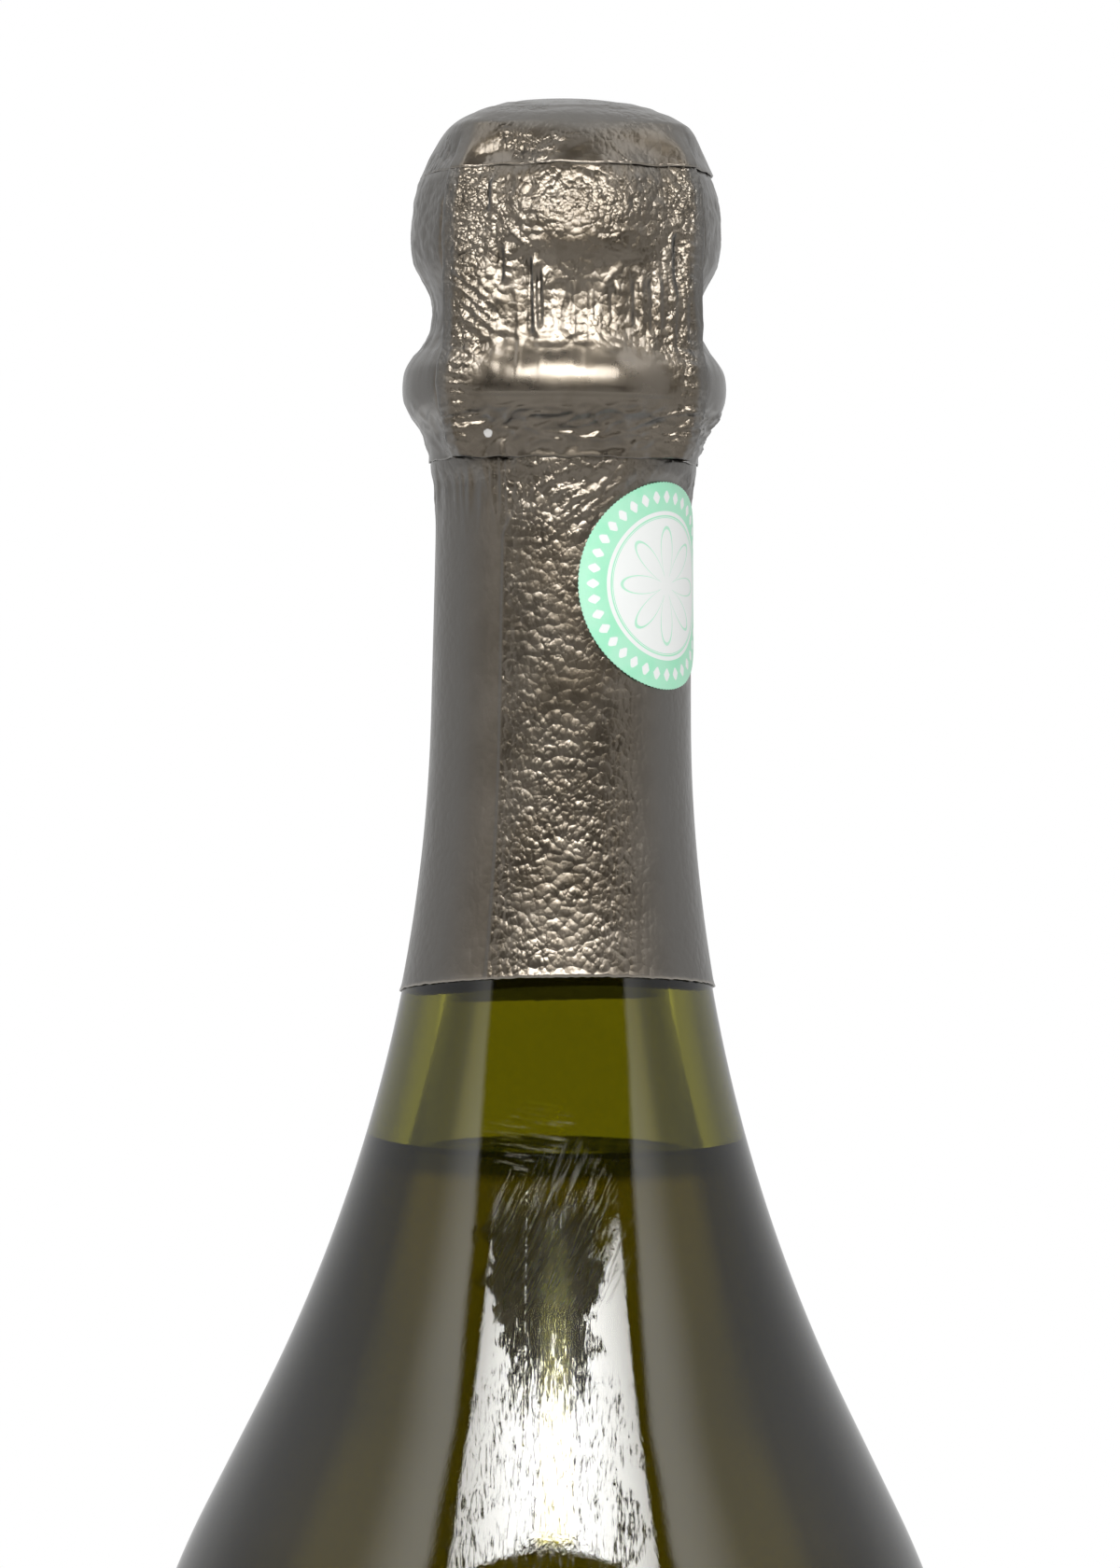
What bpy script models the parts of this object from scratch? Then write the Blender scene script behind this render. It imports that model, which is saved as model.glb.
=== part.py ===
"""Champagne bottle with its wine, cork, wire muselet, foil capsule, seal and labels.

Metres, +Z up. The origin is the centre of the base, on the table. Azimuth 0 is the front, towards -Y,
and azimuth 90 is +X. The closure's pieces are drawn with the glass rim at height zero, under empties
that stand at the rim.
"""

import math

import bmesh
import bpy
from mathutils import Vector

# Gaps and thin sheets
GAP = 0.0003
FOIL_WALL = 0.00025
PAPER_WALL = 0.0002

# Bottle: heights and drops along the axis, a drop being counted down from the rim
GLASS_HEIGHT = 0.2950
BORE_RADIUS = 0.0088
MOUTH_ROUND = 0.0010
LIP_RADIUS = 0.0129
LIP_HEIGHT = 0.0034
LIP_ROUND = 0.0011
UNDERCUT_RADIUS = 0.0124
RING_RADIUS = 0.0164
RING_DROP = 0.0104
RING_HALF_HEIGHT = 0.0042
RING_CURVE = 0.0051
NECK_TOP_DROP = 0.0155
NECK_TOP_RADIUS = 0.0129
NECK_FOOT_DROP = 0.0445
NECK_FOOT_RADIUS = 0.0133
NECK_CURVE = 0.165
SHOULDER_SLOPE_DEG = 26.5
SHOULDER_STRAIGHT = 0.012
SHOULDER_CURVE = 0.085
BODY_TAPER = 0.0008
BODY_WALL = 0.0049
HEEL_ROUND = 0.006
FLOOR_WALL = 0.0080
GULLY_ROUND = 0.0050
PUNT_DEPTH = 0.034
PUNT_MOUTH_RADIUS = 0.034
PUNT_WALL = 0.0070
PUNT_POWER = 1.9

# Wine
FILL_DROP = 0.0900
MENISCUS_RISE = 0.0009
MENISCUS_WIDTH = 0.0024

# Cork: heights above the rim
HEAD_RADIUS = 0.0154
HEAD_EQUATOR = 0.0052
HEAD_TOP = 0.0146
HEAD_FOOT_RADIUS = 0.0124
HEAD_TOP_POWER = 3.5
HEAD_SIDE_POWER = 2.0
SHANK_LENGTH = 0.0140
SHANK_ROUND = 0.0006
DISC_THICKNESS = 0.0040

# Muselet plaque: heights above the rim
PLAQUE_WALL = 0.00025
PLAQUE_CROWN_HEIGHT = 0.0186
PLAQUE_PLATEAU_RADIUS = 0.0088
PLAQUE_PLATEAU_HEIGHT = 0.0173
PLAQUE_GROOVE_RADIUS = 0.0097
PLAQUE_FLANGE_HEIGHT = 0.01515
PLAQUE_FLANGE_RADIUS = 0.0118
PLAQUE_EDGE_RADIUS = 0.0132
PLAQUE_EDGE_HEIGHT = 0.0130

# Muselet wire: legs are pairs of twisted strands
STRAND = 0.0008
STRAND_PITCH = 0.00072
STRAND_WRAP_DEG = 100.0
BELT_WIRE = 0.0009
LEG_COUNT = 4
LEG_TURN_DEG = 4.0
LEG_HALF_TURNS = 9
LEG_ARC_TOP_DEG = 35.0
LEG_ARC_FOOT_DEG = 45.0
TOP_RING_RADIUS = 0.0106
BELT_DROP = 0.0164
BELT_SWELL_DEG = 30.0
LOOP_HALF_TURNS = 3
LOOP_STEM_RISE = 0.0058
LOOP_EYE_WIDTH = 0.0060
LOOP_EYE_HEIGHT = 0.0066

# Foil hood, crown and sleeve: heights above the rim
DRAPE_POWER = 2.5
DRAPE_RADIUS = 0.0160
DRAPE_TOP = 0.01895
DRAPE_LOW_REACH = 0.0120
DRAPE_TUCK_DEG = 6.0
WAIST_RADIUS = 0.0136
HOOD_MOUTH_HEIGHT = 0.0161
HOOD_EDGE_DROP = 0.0180
HOOD_EDGE_RADIUS = 0.0145
CROWN_EDGE_HEIGHT = 0.0122
LOOP_BULGE_DEG = 14.0
LOOP_BULGE_TOP = 0.0002
LOOP_BULGE_FADE = 0.0040
SLEEVE_LENGTH = 0.0526
SLEEVE_EDGE_DIP = 0.0017
SLEEVE_EDGE_TILT = 0.0004

# Seal and labels
SEAL_RADIUS = 0.01065
SEAL_TOOTH = 0.00022
SEAL_TEETH = 48
SEAL_AZIMUTH_DEG = 52.0
SEAL_DROP = 0.0310
FRONT_LABEL_WIDTH = 0.078
FRONT_LABEL_HEIGHT = 0.066
BACK_LABEL_WIDTH = 0.058
BACK_LABEL_HEIGHT = 0.046
LABEL_MIDDLE = 0.080
LABEL_CORNER = 0.004

# How finely round shapes are divided
BODY_SEGMENTS = 40
CORK_SEGMENTS = 32
FOIL_SEGMENTS = 44
LEG_STEPS = 20
BELT_STEPS = 40
LOOP_STEPS = 4
STRAND_SIDES = 5
TOP_RING_STEPS = 32
EYELET_STEPS = 12
EYE_STEPS = 20
MERGE_DISTANCE = 0.00001

# Sizes that follow from those above
SHOULDER_SLOPE = math.radians(SHOULDER_SLOPE_DEG)
NECK_SLOPE = math.atan((NECK_FOOT_RADIUS - NECK_TOP_RADIUS) / (NECK_FOOT_DROP - NECK_TOP_DROP))
NECK_FOOT_HEIGHT = GLASS_HEIGHT - NECK_FOOT_DROP
FILL_HEIGHT = GLASS_HEIGHT - FILL_DROP
SWEEP_RADIUS = NECK_FOOT_RADIUS + NECK_CURVE * (math.cos(NECK_SLOPE) - math.cos(SHOULDER_SLOPE))
SWEEP_HEIGHT = NECK_FOOT_HEIGHT - NECK_CURVE * (math.sin(SHOULDER_SLOPE) - math.sin(NECK_SLOPE))
CURVE_TOP_RADIUS = SWEEP_RADIUS + SHOULDER_STRAIGHT * math.sin(SHOULDER_SLOPE)
CURVE_TOP_HEIGHT = SWEEP_HEIGHT - SHOULDER_STRAIGHT * math.cos(SHOULDER_SLOPE)
BODY_RADIUS = CURVE_TOP_RADIUS + SHOULDER_CURVE * (1 - math.cos(SHOULDER_SLOPE))
BODY_WIDEST_HEIGHT = CURVE_TOP_HEIGHT - SHOULDER_CURVE * math.sin(SHOULDER_SLOPE)
SLEEVE_SIDE = GAP + FOIL_WALL
PAIR_RADIUS = (STRAND_PITCH + STRAND) / 2
LEG_OFFSET = GAP + PAIR_RADIUS
EYELET_RADIUS = BELT_WIRE / 2 + GAP + STRAND / 2
BELT_RADIUS = NECK_TOP_RADIUS + GAP + BELT_WIRE / 2
BELT_LEG_RADIUS = NECK_TOP_RADIUS + GAP + EYELET_RADIUS + STRAND / 2
LOOP_PLANE = RING_RADIUS + LEG_OFFSET
LEG_AZIMUTHS = [
    math.radians(LEG_TURN_DEG + 360 * (index + 1 / 2) / LEG_COUNT) for index in range(LEG_COUNT)
]


def clear_scene():
    """Removes every object of the startup scene."""
    for obj in list(bpy.data.objects):
        bpy.data.objects.remove(obj, do_unlink=True)


def material(name, colour, roughness, metallic=0.0, transmission=0.0):
    """A Principled material of one colour."""
    made = bpy.data.materials.new(name)
    made.use_nodes = True
    shader = made.node_tree.nodes["Principled BSDF"]
    shader.inputs["Base Color"].default_value = (*colour, 1.0)
    shader.inputs["Roughness"].default_value = roughness
    shader.inputs["Metallic"].default_value = metallic
    shader.inputs["Transmission Weight"].default_value = transmission
    made.diffuse_color = (*colour, 1.0)
    made.roughness = roughness
    made.metallic = metallic
    return made


def empty(name, height, parent=None, behind=0.0):
    """An empty on the bottle's axis, or behind it, that carries one body's pieces."""
    made = bpy.data.objects.new(name, None)
    made.location = (0, behind, height)
    if parent:
        made.parent = parent
        made.location = Vector((0, behind, height)) - world_place(parent)
    bpy.context.collection.objects.link(made)
    return made


def world_place(carrier):
    """Where an empty stands, adding up the places of its parents."""
    place = Vector(carrier.location)
    return place + world_place(carrier.parent) if carrier.parent else place


def add_object(name, data, carrier, finish):
    """Links a piece to the scene, on the body that carries it."""
    made = bpy.data.objects.new(name, data)
    made.parent = carrier
    data.materials.append(finish)
    bpy.context.collection.objects.link(made)
    return made


def around(radius, azimuth, height):
    """The point at a radius, an azimuth from the front and a height."""
    return Vector((radius * math.sin(azimuth), -radius * math.cos(azimuth), height))


def arc(centre, radius, start_deg, end_deg, steps):
    """Points of an arc in the outline's plane, with angle 0 pointing outwards and 90 up."""
    turns = [math.radians(start_deg + (end_deg - start_deg) * i / steps) for i in range(steps + 1)]
    return [
        (centre[0] + radius * math.cos(turn), centre[1] + radius * math.sin(turn)) for turn in turns
    ]


def spread(first, last, steps):
    """Evenly spaced values from first to last, both included."""
    return [first + (last - first) * i / steps for i in range(steps + 1)]


def offset(outline, distance):
    """The outline moved sideways, to the right of the way it runs. A point on the axis stays on it."""
    moved = []
    for index, (radius, height) in enumerate(outline):
        before = Vector(outline[max(index - 1, 0)])
        after = Vector(outline[min(index + 1, len(outline) - 1)])
        along = (after - before).normalized()
        aside = radius + along.y * distance if radius else 0.0
        moved.append((max(aside, 0.0), height - along.x * distance))
    return moved


def radius_at(outline, height):
    """The radius that an outline running downwards has at a height."""
    for (upper_r, upper_z), (lower_r, lower_z) in zip(outline, outline[1:]):
        if lower_z <= height <= upper_z and upper_z > lower_z:
            share = (upper_z - height) / (upper_z - lower_z)
            return upper_r + (lower_r - upper_r) * share
    return outline[0][0] if height > outline[0][1] else outline[-1][0]


def turned(name, outline, carrier, finish, segments):
    """A lathe-turned piece: the outline runs down its outer side, and a Screw takes it round."""
    shape = bmesh.new()
    points = [shape.verts.new((radius, 0, height)) for radius, height in outline]
    for start, end in zip(points, points[1:]):
        shape.edges.new((start, end))
    mesh = bpy.data.meshes.new(name)
    shape.to_mesh(mesh)
    shape.free()
    made = add_object(name, mesh, carrier, finish)
    screw = made.modifiers.new("turn", "SCREW")
    screw.axis = "Z"
    screw.angle = math.tau
    screw.steps = segments
    screw.render_steps = segments
    screw.use_merge_vertices = True
    screw.merge_threshold = MERGE_DISTANCE
    screw.use_smooth_shade = True


def sheet(name, rows, wall, carrier, finish, wrap, centre=None):
    """A thin sheet: rows of points that face outwards, thickened inwards by a Solidify.

    A row runs round the axis. Wrapped rows close on themselves, and a centre point closes the first.
    """
    shape = bmesh.new()
    grid = [[shape.verts.new(point) for point in row] for row in rows]
    count = len(grid[0])
    for upper, lower in zip(grid, grid[1:]):
        for i in range(count if wrap else count - 1):
            j = (i + 1) % count
            shape.faces.new((upper[i], lower[i], lower[j], upper[j]))
    if centre:
        tip = shape.verts.new(centre)
        for i in range(count):
            shape.faces.new((tip, grid[0][i], grid[0][(i + 1) % count]))
    mesh = bpy.data.meshes.new(name)
    shape.to_mesh(mesh)
    shape.free()
    mesh.shade_smooth()
    made = add_object(name, mesh, carrier, finish)
    thicken = made.modifiers.new("wall", "SOLIDIFY")
    thicken.thickness = wall
    thicken.offset = -1.0


def glass_outline():
    """The outside of the glass from below the ring to the heel, running down."""
    neck = [
        (radius, GLASS_HEIGHT - drop)
        for radius, drop in zip(
            spread(NECK_TOP_RADIUS, NECK_FOOT_RADIUS, 1), spread(NECK_TOP_DROP, NECK_FOOT_DROP, 1)
        )
    ]
    for slope in spread(NECK_SLOPE, SHOULDER_SLOPE, 8)[1:]:
        radius = NECK_FOOT_RADIUS + NECK_CURVE * (math.cos(NECK_SLOPE) - math.cos(slope))
        height = NECK_FOOT_HEIGHT - NECK_CURVE * (math.sin(slope) - math.sin(NECK_SLOPE))
        neck.append((radius, height))
    shoulder = []
    for slope in spread(SHOULDER_SLOPE, 0.0, 5):
        radius = CURVE_TOP_RADIUS + SHOULDER_CURVE * (math.cos(slope) - math.cos(SHOULDER_SLOPE))
        height = CURVE_TOP_HEIGHT - SHOULDER_CURVE * (math.sin(SHOULDER_SLOPE) - math.sin(slope))
        shoulder.append((radius, height))
    body = []
    for share in spread(0.0, 1.0, 3)[1:]:
        height = BODY_WIDEST_HEIGHT - (BODY_WIDEST_HEIGHT - HEEL_ROUND) * share
        body.append((BODY_RADIUS - BODY_TAPER * share**2, height))
    return neck + shoulder + body


def punt(foot_radius, foot_height, top_height, steps):
    """The domed hollow under the base, from its foot up to the axis."""
    rise = top_height - foot_height
    shares = [math.sin(turn) for turn in spread(math.pi / 2, 0.0, steps)]
    return [(foot_radius * share, foot_height + rise * (1 - share**PUNT_POWER)) for share in shares]


def inside_outline():
    """The inside of the glass, running up from the top of the punt to the foot of the bore."""
    outer = glass_outline()
    neck_wall = NECK_FOOT_RADIUS - BORE_RADIUS
    wall_side = []
    for radius, height in reversed(outer):
        if height < FLOOR_WALL + GULLY_ROUND or height > NECK_FOOT_HEIGHT:
            continue
        share = min(max((height - BODY_WIDEST_HEIGHT) / (NECK_FOOT_HEIGHT - BODY_WIDEST_HEIGHT), 0), 1)
        wall_side.append((radius - BODY_WALL - (neck_wall - BODY_WALL) * share, height))
    low_radius = radius_at(outer, FLOOR_WALL + GULLY_ROUND) - BODY_WALL
    gully_centre = (low_radius - GULLY_ROUND, FLOOR_WALL + GULLY_ROUND)
    dome = punt(gully_centre[0], FLOOR_WALL, PUNT_DEPTH + PUNT_WALL, 6)
    return dome[::-1] + arc(gully_centre, GULLY_ROUND, -90, 0, 3)[1:] + wall_side


def finish_outline():
    """The mouth, the lip and the ring of the glass, running over the rim and down the outside."""
    lip_edge = (LIP_RADIUS - LIP_ROUND, GLASS_HEIGHT - LIP_ROUND)
    mouth_edge = (BORE_RADIUS + MOUTH_ROUND, GLASS_HEIGHT - MOUTH_ROUND)
    ring_height = GLASS_HEIGHT - RING_DROP
    swing = math.degrees(math.asin(RING_HALF_HEIGHT / RING_CURVE))
    return (
        arc(mouth_edge, MOUTH_ROUND, 180, 90, 2)
        + arc(lip_edge, LIP_ROUND, 90, 0, 3)
        + [(LIP_RADIUS, GLASS_HEIGHT - LIP_HEIGHT)]
        + [(UNDERCUT_RADIUS, GLASS_HEIGHT - LIP_HEIGHT - (LIP_RADIUS - UNDERCUT_RADIUS))]
        + [(UNDERCUT_RADIUS, ring_height + RING_HALF_HEIGHT + (LIP_RADIUS - UNDERCUT_RADIUS))]
        + arc((RING_RADIUS - RING_CURVE, ring_height), RING_CURVE, swing, -swing, 6)
    )


def make_glass(bottle, finish):
    """The bottle itself, open at the mouth and hollow down to the punt."""
    heel_radius = glass_outline()[-1][0] - HEEL_ROUND
    outline = (
        inside_outline()
        + finish_outline()
        + glass_outline()
        + arc((heel_radius, HEEL_ROUND), HEEL_ROUND, 0, -90, 3)[1:]
        + punt(PUNT_MOUTH_RADIUS, 0.0, PUNT_DEPTH, 5)
    )
    turned("glass_bottle", outline, bottle, finish, BODY_SEGMENTS)


def make_wine(bottle, finish):
    """The wine, a hair's gap inside the glass, with the raised edge of its surface."""
    inner = offset(inside_outline(), -GAP)
    side = [point for point in inner if point[1] < FILL_HEIGHT]
    edge_radius = radius_at(inner[::-1], FILL_HEIGHT)
    surface = [(0.0, FILL_HEIGHT)]
    for share in spread(0.0, 1.0, 4):
        radius = edge_radius - MENISCUS_WIDTH * (1 - share)
        surface.append((radius, FILL_HEIGHT + MENISCUS_RISE * share**2))
    surface[-1] = (radius_at(inner[::-1], surface[-1][1]), surface[-1][1])
    turned("wine", surface + side[::-1], bottle, finish, CORK_SEGMENTS)


def head_outline():
    """The cork's mushroom head above the rim, running down from the axis."""
    rise = HEAD_TOP - HEAD_EQUATOR
    top = []
    for turn in spread(0.0, math.pi / 2, 7):
        radius_share = math.sin(turn) ** (2 / HEAD_TOP_POWER)
        height_share = math.cos(turn) ** (2 / HEAD_TOP_POWER)
        top.append((HEAD_RADIUS * radius_share, HEAD_EQUATOR + rise * height_share))
    top[0] = (0.0, HEAD_TOP)
    top[-1] = (HEAD_RADIUS, HEAD_EQUATOR)
    foot = []
    for share in spread(0.0, 1.0, 4)[1:]:
        radius = HEAD_RADIUS - (HEAD_RADIUS - HEAD_FOOT_RADIUS) * share**HEAD_SIDE_POWER
        foot.append((radius, HEAD_EQUATOR - (HEAD_EQUATOR - GAP) * share))
    return top + foot


def make_cork(cork, body_finish, disc_finish):
    """The cork body, and the two natural discs under its shank."""
    shank_radius = BORE_RADIUS - GAP
    outline = head_outline() + [
        (BORE_RADIUS + MOUTH_ROUND, GAP),
        (shank_radius, GAP - MOUTH_ROUND),
        (shank_radius, SHANK_ROUND - SHANK_LENGTH),
        (shank_radius - SHANK_ROUND, -SHANK_LENGTH),
        (0.0, -SHANK_LENGTH),
    ]
    turned("cork_body", outline, cork, body_finish, CORK_SEGMENTS)
    top = -SHANK_LENGTH - GAP
    for name in ("cork_disc_upper", "cork_disc_lower"):
        low = top - DISC_THICKNESS
        disc = [
            (0.0, top),
            (shank_radius - SHANK_ROUND, top),
            (shank_radius, top - SHANK_ROUND),
            (shank_radius, low + SHANK_ROUND),
            (shank_radius - SHANK_ROUND, low),
            (0.0, low),
        ]
        turned(name, disc, cork, disc_finish, CORK_SEGMENTS)
        top = low - GAP


def make_plaque(muselet, finish):
    """The pressed cap: a domed plateau, a groove for the wire ring, and a turned-down edge."""
    dome_drop = PLAQUE_CROWN_HEIGHT - PLAQUE_PLATEAU_HEIGHT
    dome = [
        (PLAQUE_PLATEAU_RADIUS * share, PLAQUE_CROWN_HEIGHT - dome_drop * share**2)
        for share in spread(0.0, 1.0, 3)
    ]
    fall = PLAQUE_FLANGE_HEIGHT - PLAQUE_EDGE_HEIGHT
    reach = PLAQUE_EDGE_RADIUS - PLAQUE_FLANGE_RADIUS
    edge = [
        (PLAQUE_FLANGE_RADIUS + reach * math.sin(turn), PLAQUE_EDGE_HEIGHT + fall * math.cos(turn))
        for turn in spread(0.0, math.pi / 2, 3)
    ]
    top = dome + [(PLAQUE_GROOVE_RADIUS, PLAQUE_FLANGE_HEIGHT)] + edge
    under = offset(top, PLAQUE_WALL)
    under[0] = (0.0, PLAQUE_CROWN_HEIGHT - PLAQUE_WALL)
    turned("muselet_plaque", top + under[::-1], muselet, finish, CORK_SEGMENTS)


def leg_outline():
    """The middle of a leg, from the top ring over the cork's head and the glass ring to the belt."""
    ring_middle = -RING_DROP
    shoulder_radius = (PLAQUE_EDGE_RADIUS + PLAQUE_FLANGE_RADIUS) / 2
    corner = (RING_RADIUS - RING_CURVE, ring_middle)
    reach = RING_CURVE + LEG_OFFSET
    head = offset(head_outline(), -LEG_OFFSET)
    over_head = [point for point in head if HEAD_EQUATOR <= point[1] < PLAQUE_EDGE_HEIGHT - LEG_OFFSET]
    belt_side = BELT_LEG_RADIUS + EYELET_RADIUS / 2
    return [
        (TOP_RING_RADIUS, PLAQUE_FLANGE_HEIGHT + GAP + STRAND / 2),
        (PLAQUE_FLANGE_RADIUS, PLAQUE_FLANGE_HEIGHT + LEG_OFFSET + GAP),
        (shoulder_radius + LEG_OFFSET, PLAQUE_FLANGE_HEIGHT + GAP),
        (PLAQUE_EDGE_RADIUS + LEG_OFFSET + GAP, PLAQUE_EDGE_HEIGHT),
        *over_head,
        *arc(corner, reach, LEG_ARC_TOP_DEG, -LEG_ARC_FOOT_DEG, 4),
        (belt_side, EYELET_RADIUS - BELT_DROP),
    ]


def smoothed(points, steps):
    """Evenly spaced points of a smooth curve through the given ones."""
    fine = []
    padded = [points[0], *points, points[-1]]
    for a, b, c, d in zip(padded, padded[1:], padded[2:], padded[3:]):
        a, b, c, d = (Vector(point) for point in (a, b, c, d))
        for t in spread(0.0, 1.0, 8)[:-1]:
            fine.append(
                (2 * b + (c - a) * t + (2 * a - 5 * b + 4 * c - d) * t**2
                 + (3 * b - a - 3 * c + d) * t**3) / 2
            )
    fine.append(Vector(points[-1]))
    lengths = [0.0]
    for start, end in zip(fine, fine[1:]):
        lengths.append(lengths[-1] + (end - start).length)
    evenly = []
    index = 0
    for wanted in spread(0.0, lengths[-1], steps):
        while index < len(fine) - 2 and lengths[index + 1] < wanted:
            index += 1
        share = (wanted - lengths[index]) / (lengths[index + 1] - lengths[index])
        evenly.append(fine[index].lerp(fine[index + 1], min(share, 1.0)))
    return evenly


def pair_section(turn):
    """The outline of two strands side by side, turned about the point between them."""
    points = []
    for side in (1, -1):
        for i in range(STRAND_SIDES):
            bend = math.radians(STRAND_WRAP_DEG) * (2 * i / (STRAND_SIDES - 1) - 1)
            across = side * (STRAND_PITCH / 2 + STRAND / 2 * math.cos(bend))
            up = side * STRAND / 2 * math.sin(bend)
            turned_across = across * math.cos(turn) - up * math.sin(turn)
            turned_up = across * math.sin(turn) + up * math.cos(turn)
            points.append((turned_across, turned_up))
    return points


def twisted_pair(name, path, sideways, half_turns):
    """Two strands twisted along a path that lies in the plane square to sideways."""
    shape = bmesh.new()
    rings = []
    for index, point in enumerate(path):
        before = path[max(index - 1, 0)]
        after = path[min(index + 1, len(path) - 1)]
        along = (after - before).normalized()
        normal = sideways.cross(along)
        turn = math.pi * half_turns * index / (len(path) - 1)
        section = pair_section(turn)
        rings.append([shape.verts.new(point + sideways * x + normal * y) for x, y in section])
    count = len(rings[0])
    for lower, upper in zip(rings, rings[1:]):
        for i in range(count):
            j = (i + 1) % count
            shape.faces.new((lower[i], lower[j], upper[j], upper[i]))
    shape.faces.new(rings[0][::-1])
    shape.faces.new(rings[-1])
    bmesh.ops.recalc_face_normals(shape, faces=shape.faces)
    mesh = bpy.data.meshes.new(name)
    shape.to_mesh(mesh)
    shape.free()
    mesh.shade_smooth()
    return mesh


def wire_ring(name, points, wire):
    """A closed wire through the given points, as a curve with a round bevel."""
    curve = bpy.data.curves.new(name, "CURVE")
    curve.dimensions = "3D"
    curve.bevel_depth = wire / 2
    curve.bevel_resolution = 1
    spline = curve.splines.new("POLY")
    spline.points.add(len(points) - 1)
    for target, point in zip(spline.points, points):
        target.co = (*point, 1.0)
    spline.use_cyclic_u = True
    return curve


def meshed(curve):
    """The mesh of a curve, for use in a Boolean."""
    helper = bpy.data.objects.new(curve.name, curve)
    bpy.context.collection.objects.link(helper)
    bpy.context.view_layer.update()
    mesh = bpy.data.meshes.new_from_object(helper.evaluated_get(bpy.context.evaluated_depsgraph_get()))
    bpy.data.objects.remove(helper)
    return mesh


def unite(base, additions):
    """Joins further wire meshes to an object with Boolean unions."""
    for mesh in additions:
        helper = bpy.data.objects.new(mesh.name + "_helper", mesh)
        helper.parent = base.parent
        helper.hide_render = True
        helper.display_type = "WIRE"
        bpy.context.collection.objects.link(helper)
        union = base.modifiers.new(mesh.name, "BOOLEAN")
        union.operation = "UNION"
        union.solver = "EXACT"
        union.object = helper


def eyelet_points(azimuth):
    """The loop at a leg's end, round the belt wire."""
    points = []
    for i in range(EYELET_STEPS):
        turn = math.tau * i / EYELET_STEPS
        radius = BELT_LEG_RADIUS + EYELET_RADIUS * math.cos(turn)
        points.append(around(radius, azimuth, EYELET_RADIUS * math.sin(turn) - BELT_DROP))
    return points


def make_cage(muselet, finish):
    """The wire that holds the cork: a top ring and four twisted legs that end in eyelets."""
    ring_height = PLAQUE_FLANGE_HEIGHT + GAP + STRAND / 2
    turns = [math.tau * i / TOP_RING_STEPS for i in range(TOP_RING_STEPS)]
    ring_points = [around(TOP_RING_RADIUS, turn, ring_height) for turn in turns]
    ring = meshed(wire_ring("top_ring", ring_points, STRAND))
    cage = add_object("muselet_cage", ring, muselet, finish)
    middle = smoothed(leg_outline(), LEG_STEPS)
    additions = []
    for index, azimuth in enumerate(LEG_AZIMUTHS):
        path = [around(radius, azimuth, height) for radius, height in middle]
        sideways = around(1, azimuth + math.pi / 2, 0)
        additions.append(twisted_pair(f"leg_{index + 1}", path, sideways, LEG_HALF_TURNS))
        additions.append(meshed(wire_ring(f"eyelet_{index + 1}", eyelet_points(azimuth), STRAND)))
    unite(cage, additions)


def belt_radius(azimuth):
    """The belt hugs the neck, and swells out to pass through each eyelet."""
    nearest = min(abs(math.remainder(azimuth - leg, math.tau)) for leg in LEG_AZIMUTHS)
    share = min(nearest / math.radians(BELT_SWELL_DEG), 1.0)
    return BELT_RADIUS + (BELT_LEG_RADIUS - BELT_RADIUS) * (1 + math.cos(math.pi * share)) / 2


def make_belt(muselet, finish):
    """The belt wire through the eyelets under the glass ring. Its twisted ends reach out at the back."""
    turns = [LEG_AZIMUTHS[0] + math.tau * i / BELT_STEPS for i in range(BELT_STEPS)]
    points = [around(belt_radius(turn), turn, -BELT_DROP) for turn in turns]
    ring = meshed(wire_ring("belt_ring", points, BELT_WIRE))
    belt = add_object("muselet_belt", ring, muselet, finish)
    reaches = spread(BELT_RADIUS, LOOP_PLANE - PAIR_RADIUS - GAP, LOOP_STEPS)
    path = [around(reach, math.pi, -BELT_DROP) for reach in reaches]
    unite(belt, [twisted_pair("belt_ends", path, Vector((1, 0, 0)), 1)])


def make_loop(hinge, finish):
    """The twisted loop at the back, folded up against the glass ring where the belt's ends stop."""
    path = [Vector((0, 0, up)) for up in spread(-PAIR_RADIUS / 2, LOOP_STEM_RISE, 2 * LOOP_STEPS)]
    stem = twisted_pair("muselet_loop", path, Vector((1, 0, 0)), LOOP_HALF_TURNS)
    loop = add_object("muselet_loop", stem, hinge, finish)
    eye = []
    for i in range(EYE_STEPS):
        turn = math.tau * i / EYE_STEPS
        across = LOOP_EYE_WIDTH / 2 * math.sin(turn)
        up = LOOP_STEM_RISE + LOOP_EYE_HEIGHT / 2 * (1 - math.cos(turn)) - STRAND / 2
        eye.append(Vector((across, 0, up)))
    unite(loop, [meshed(wire_ring("eye", eye, STRAND))])


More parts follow.
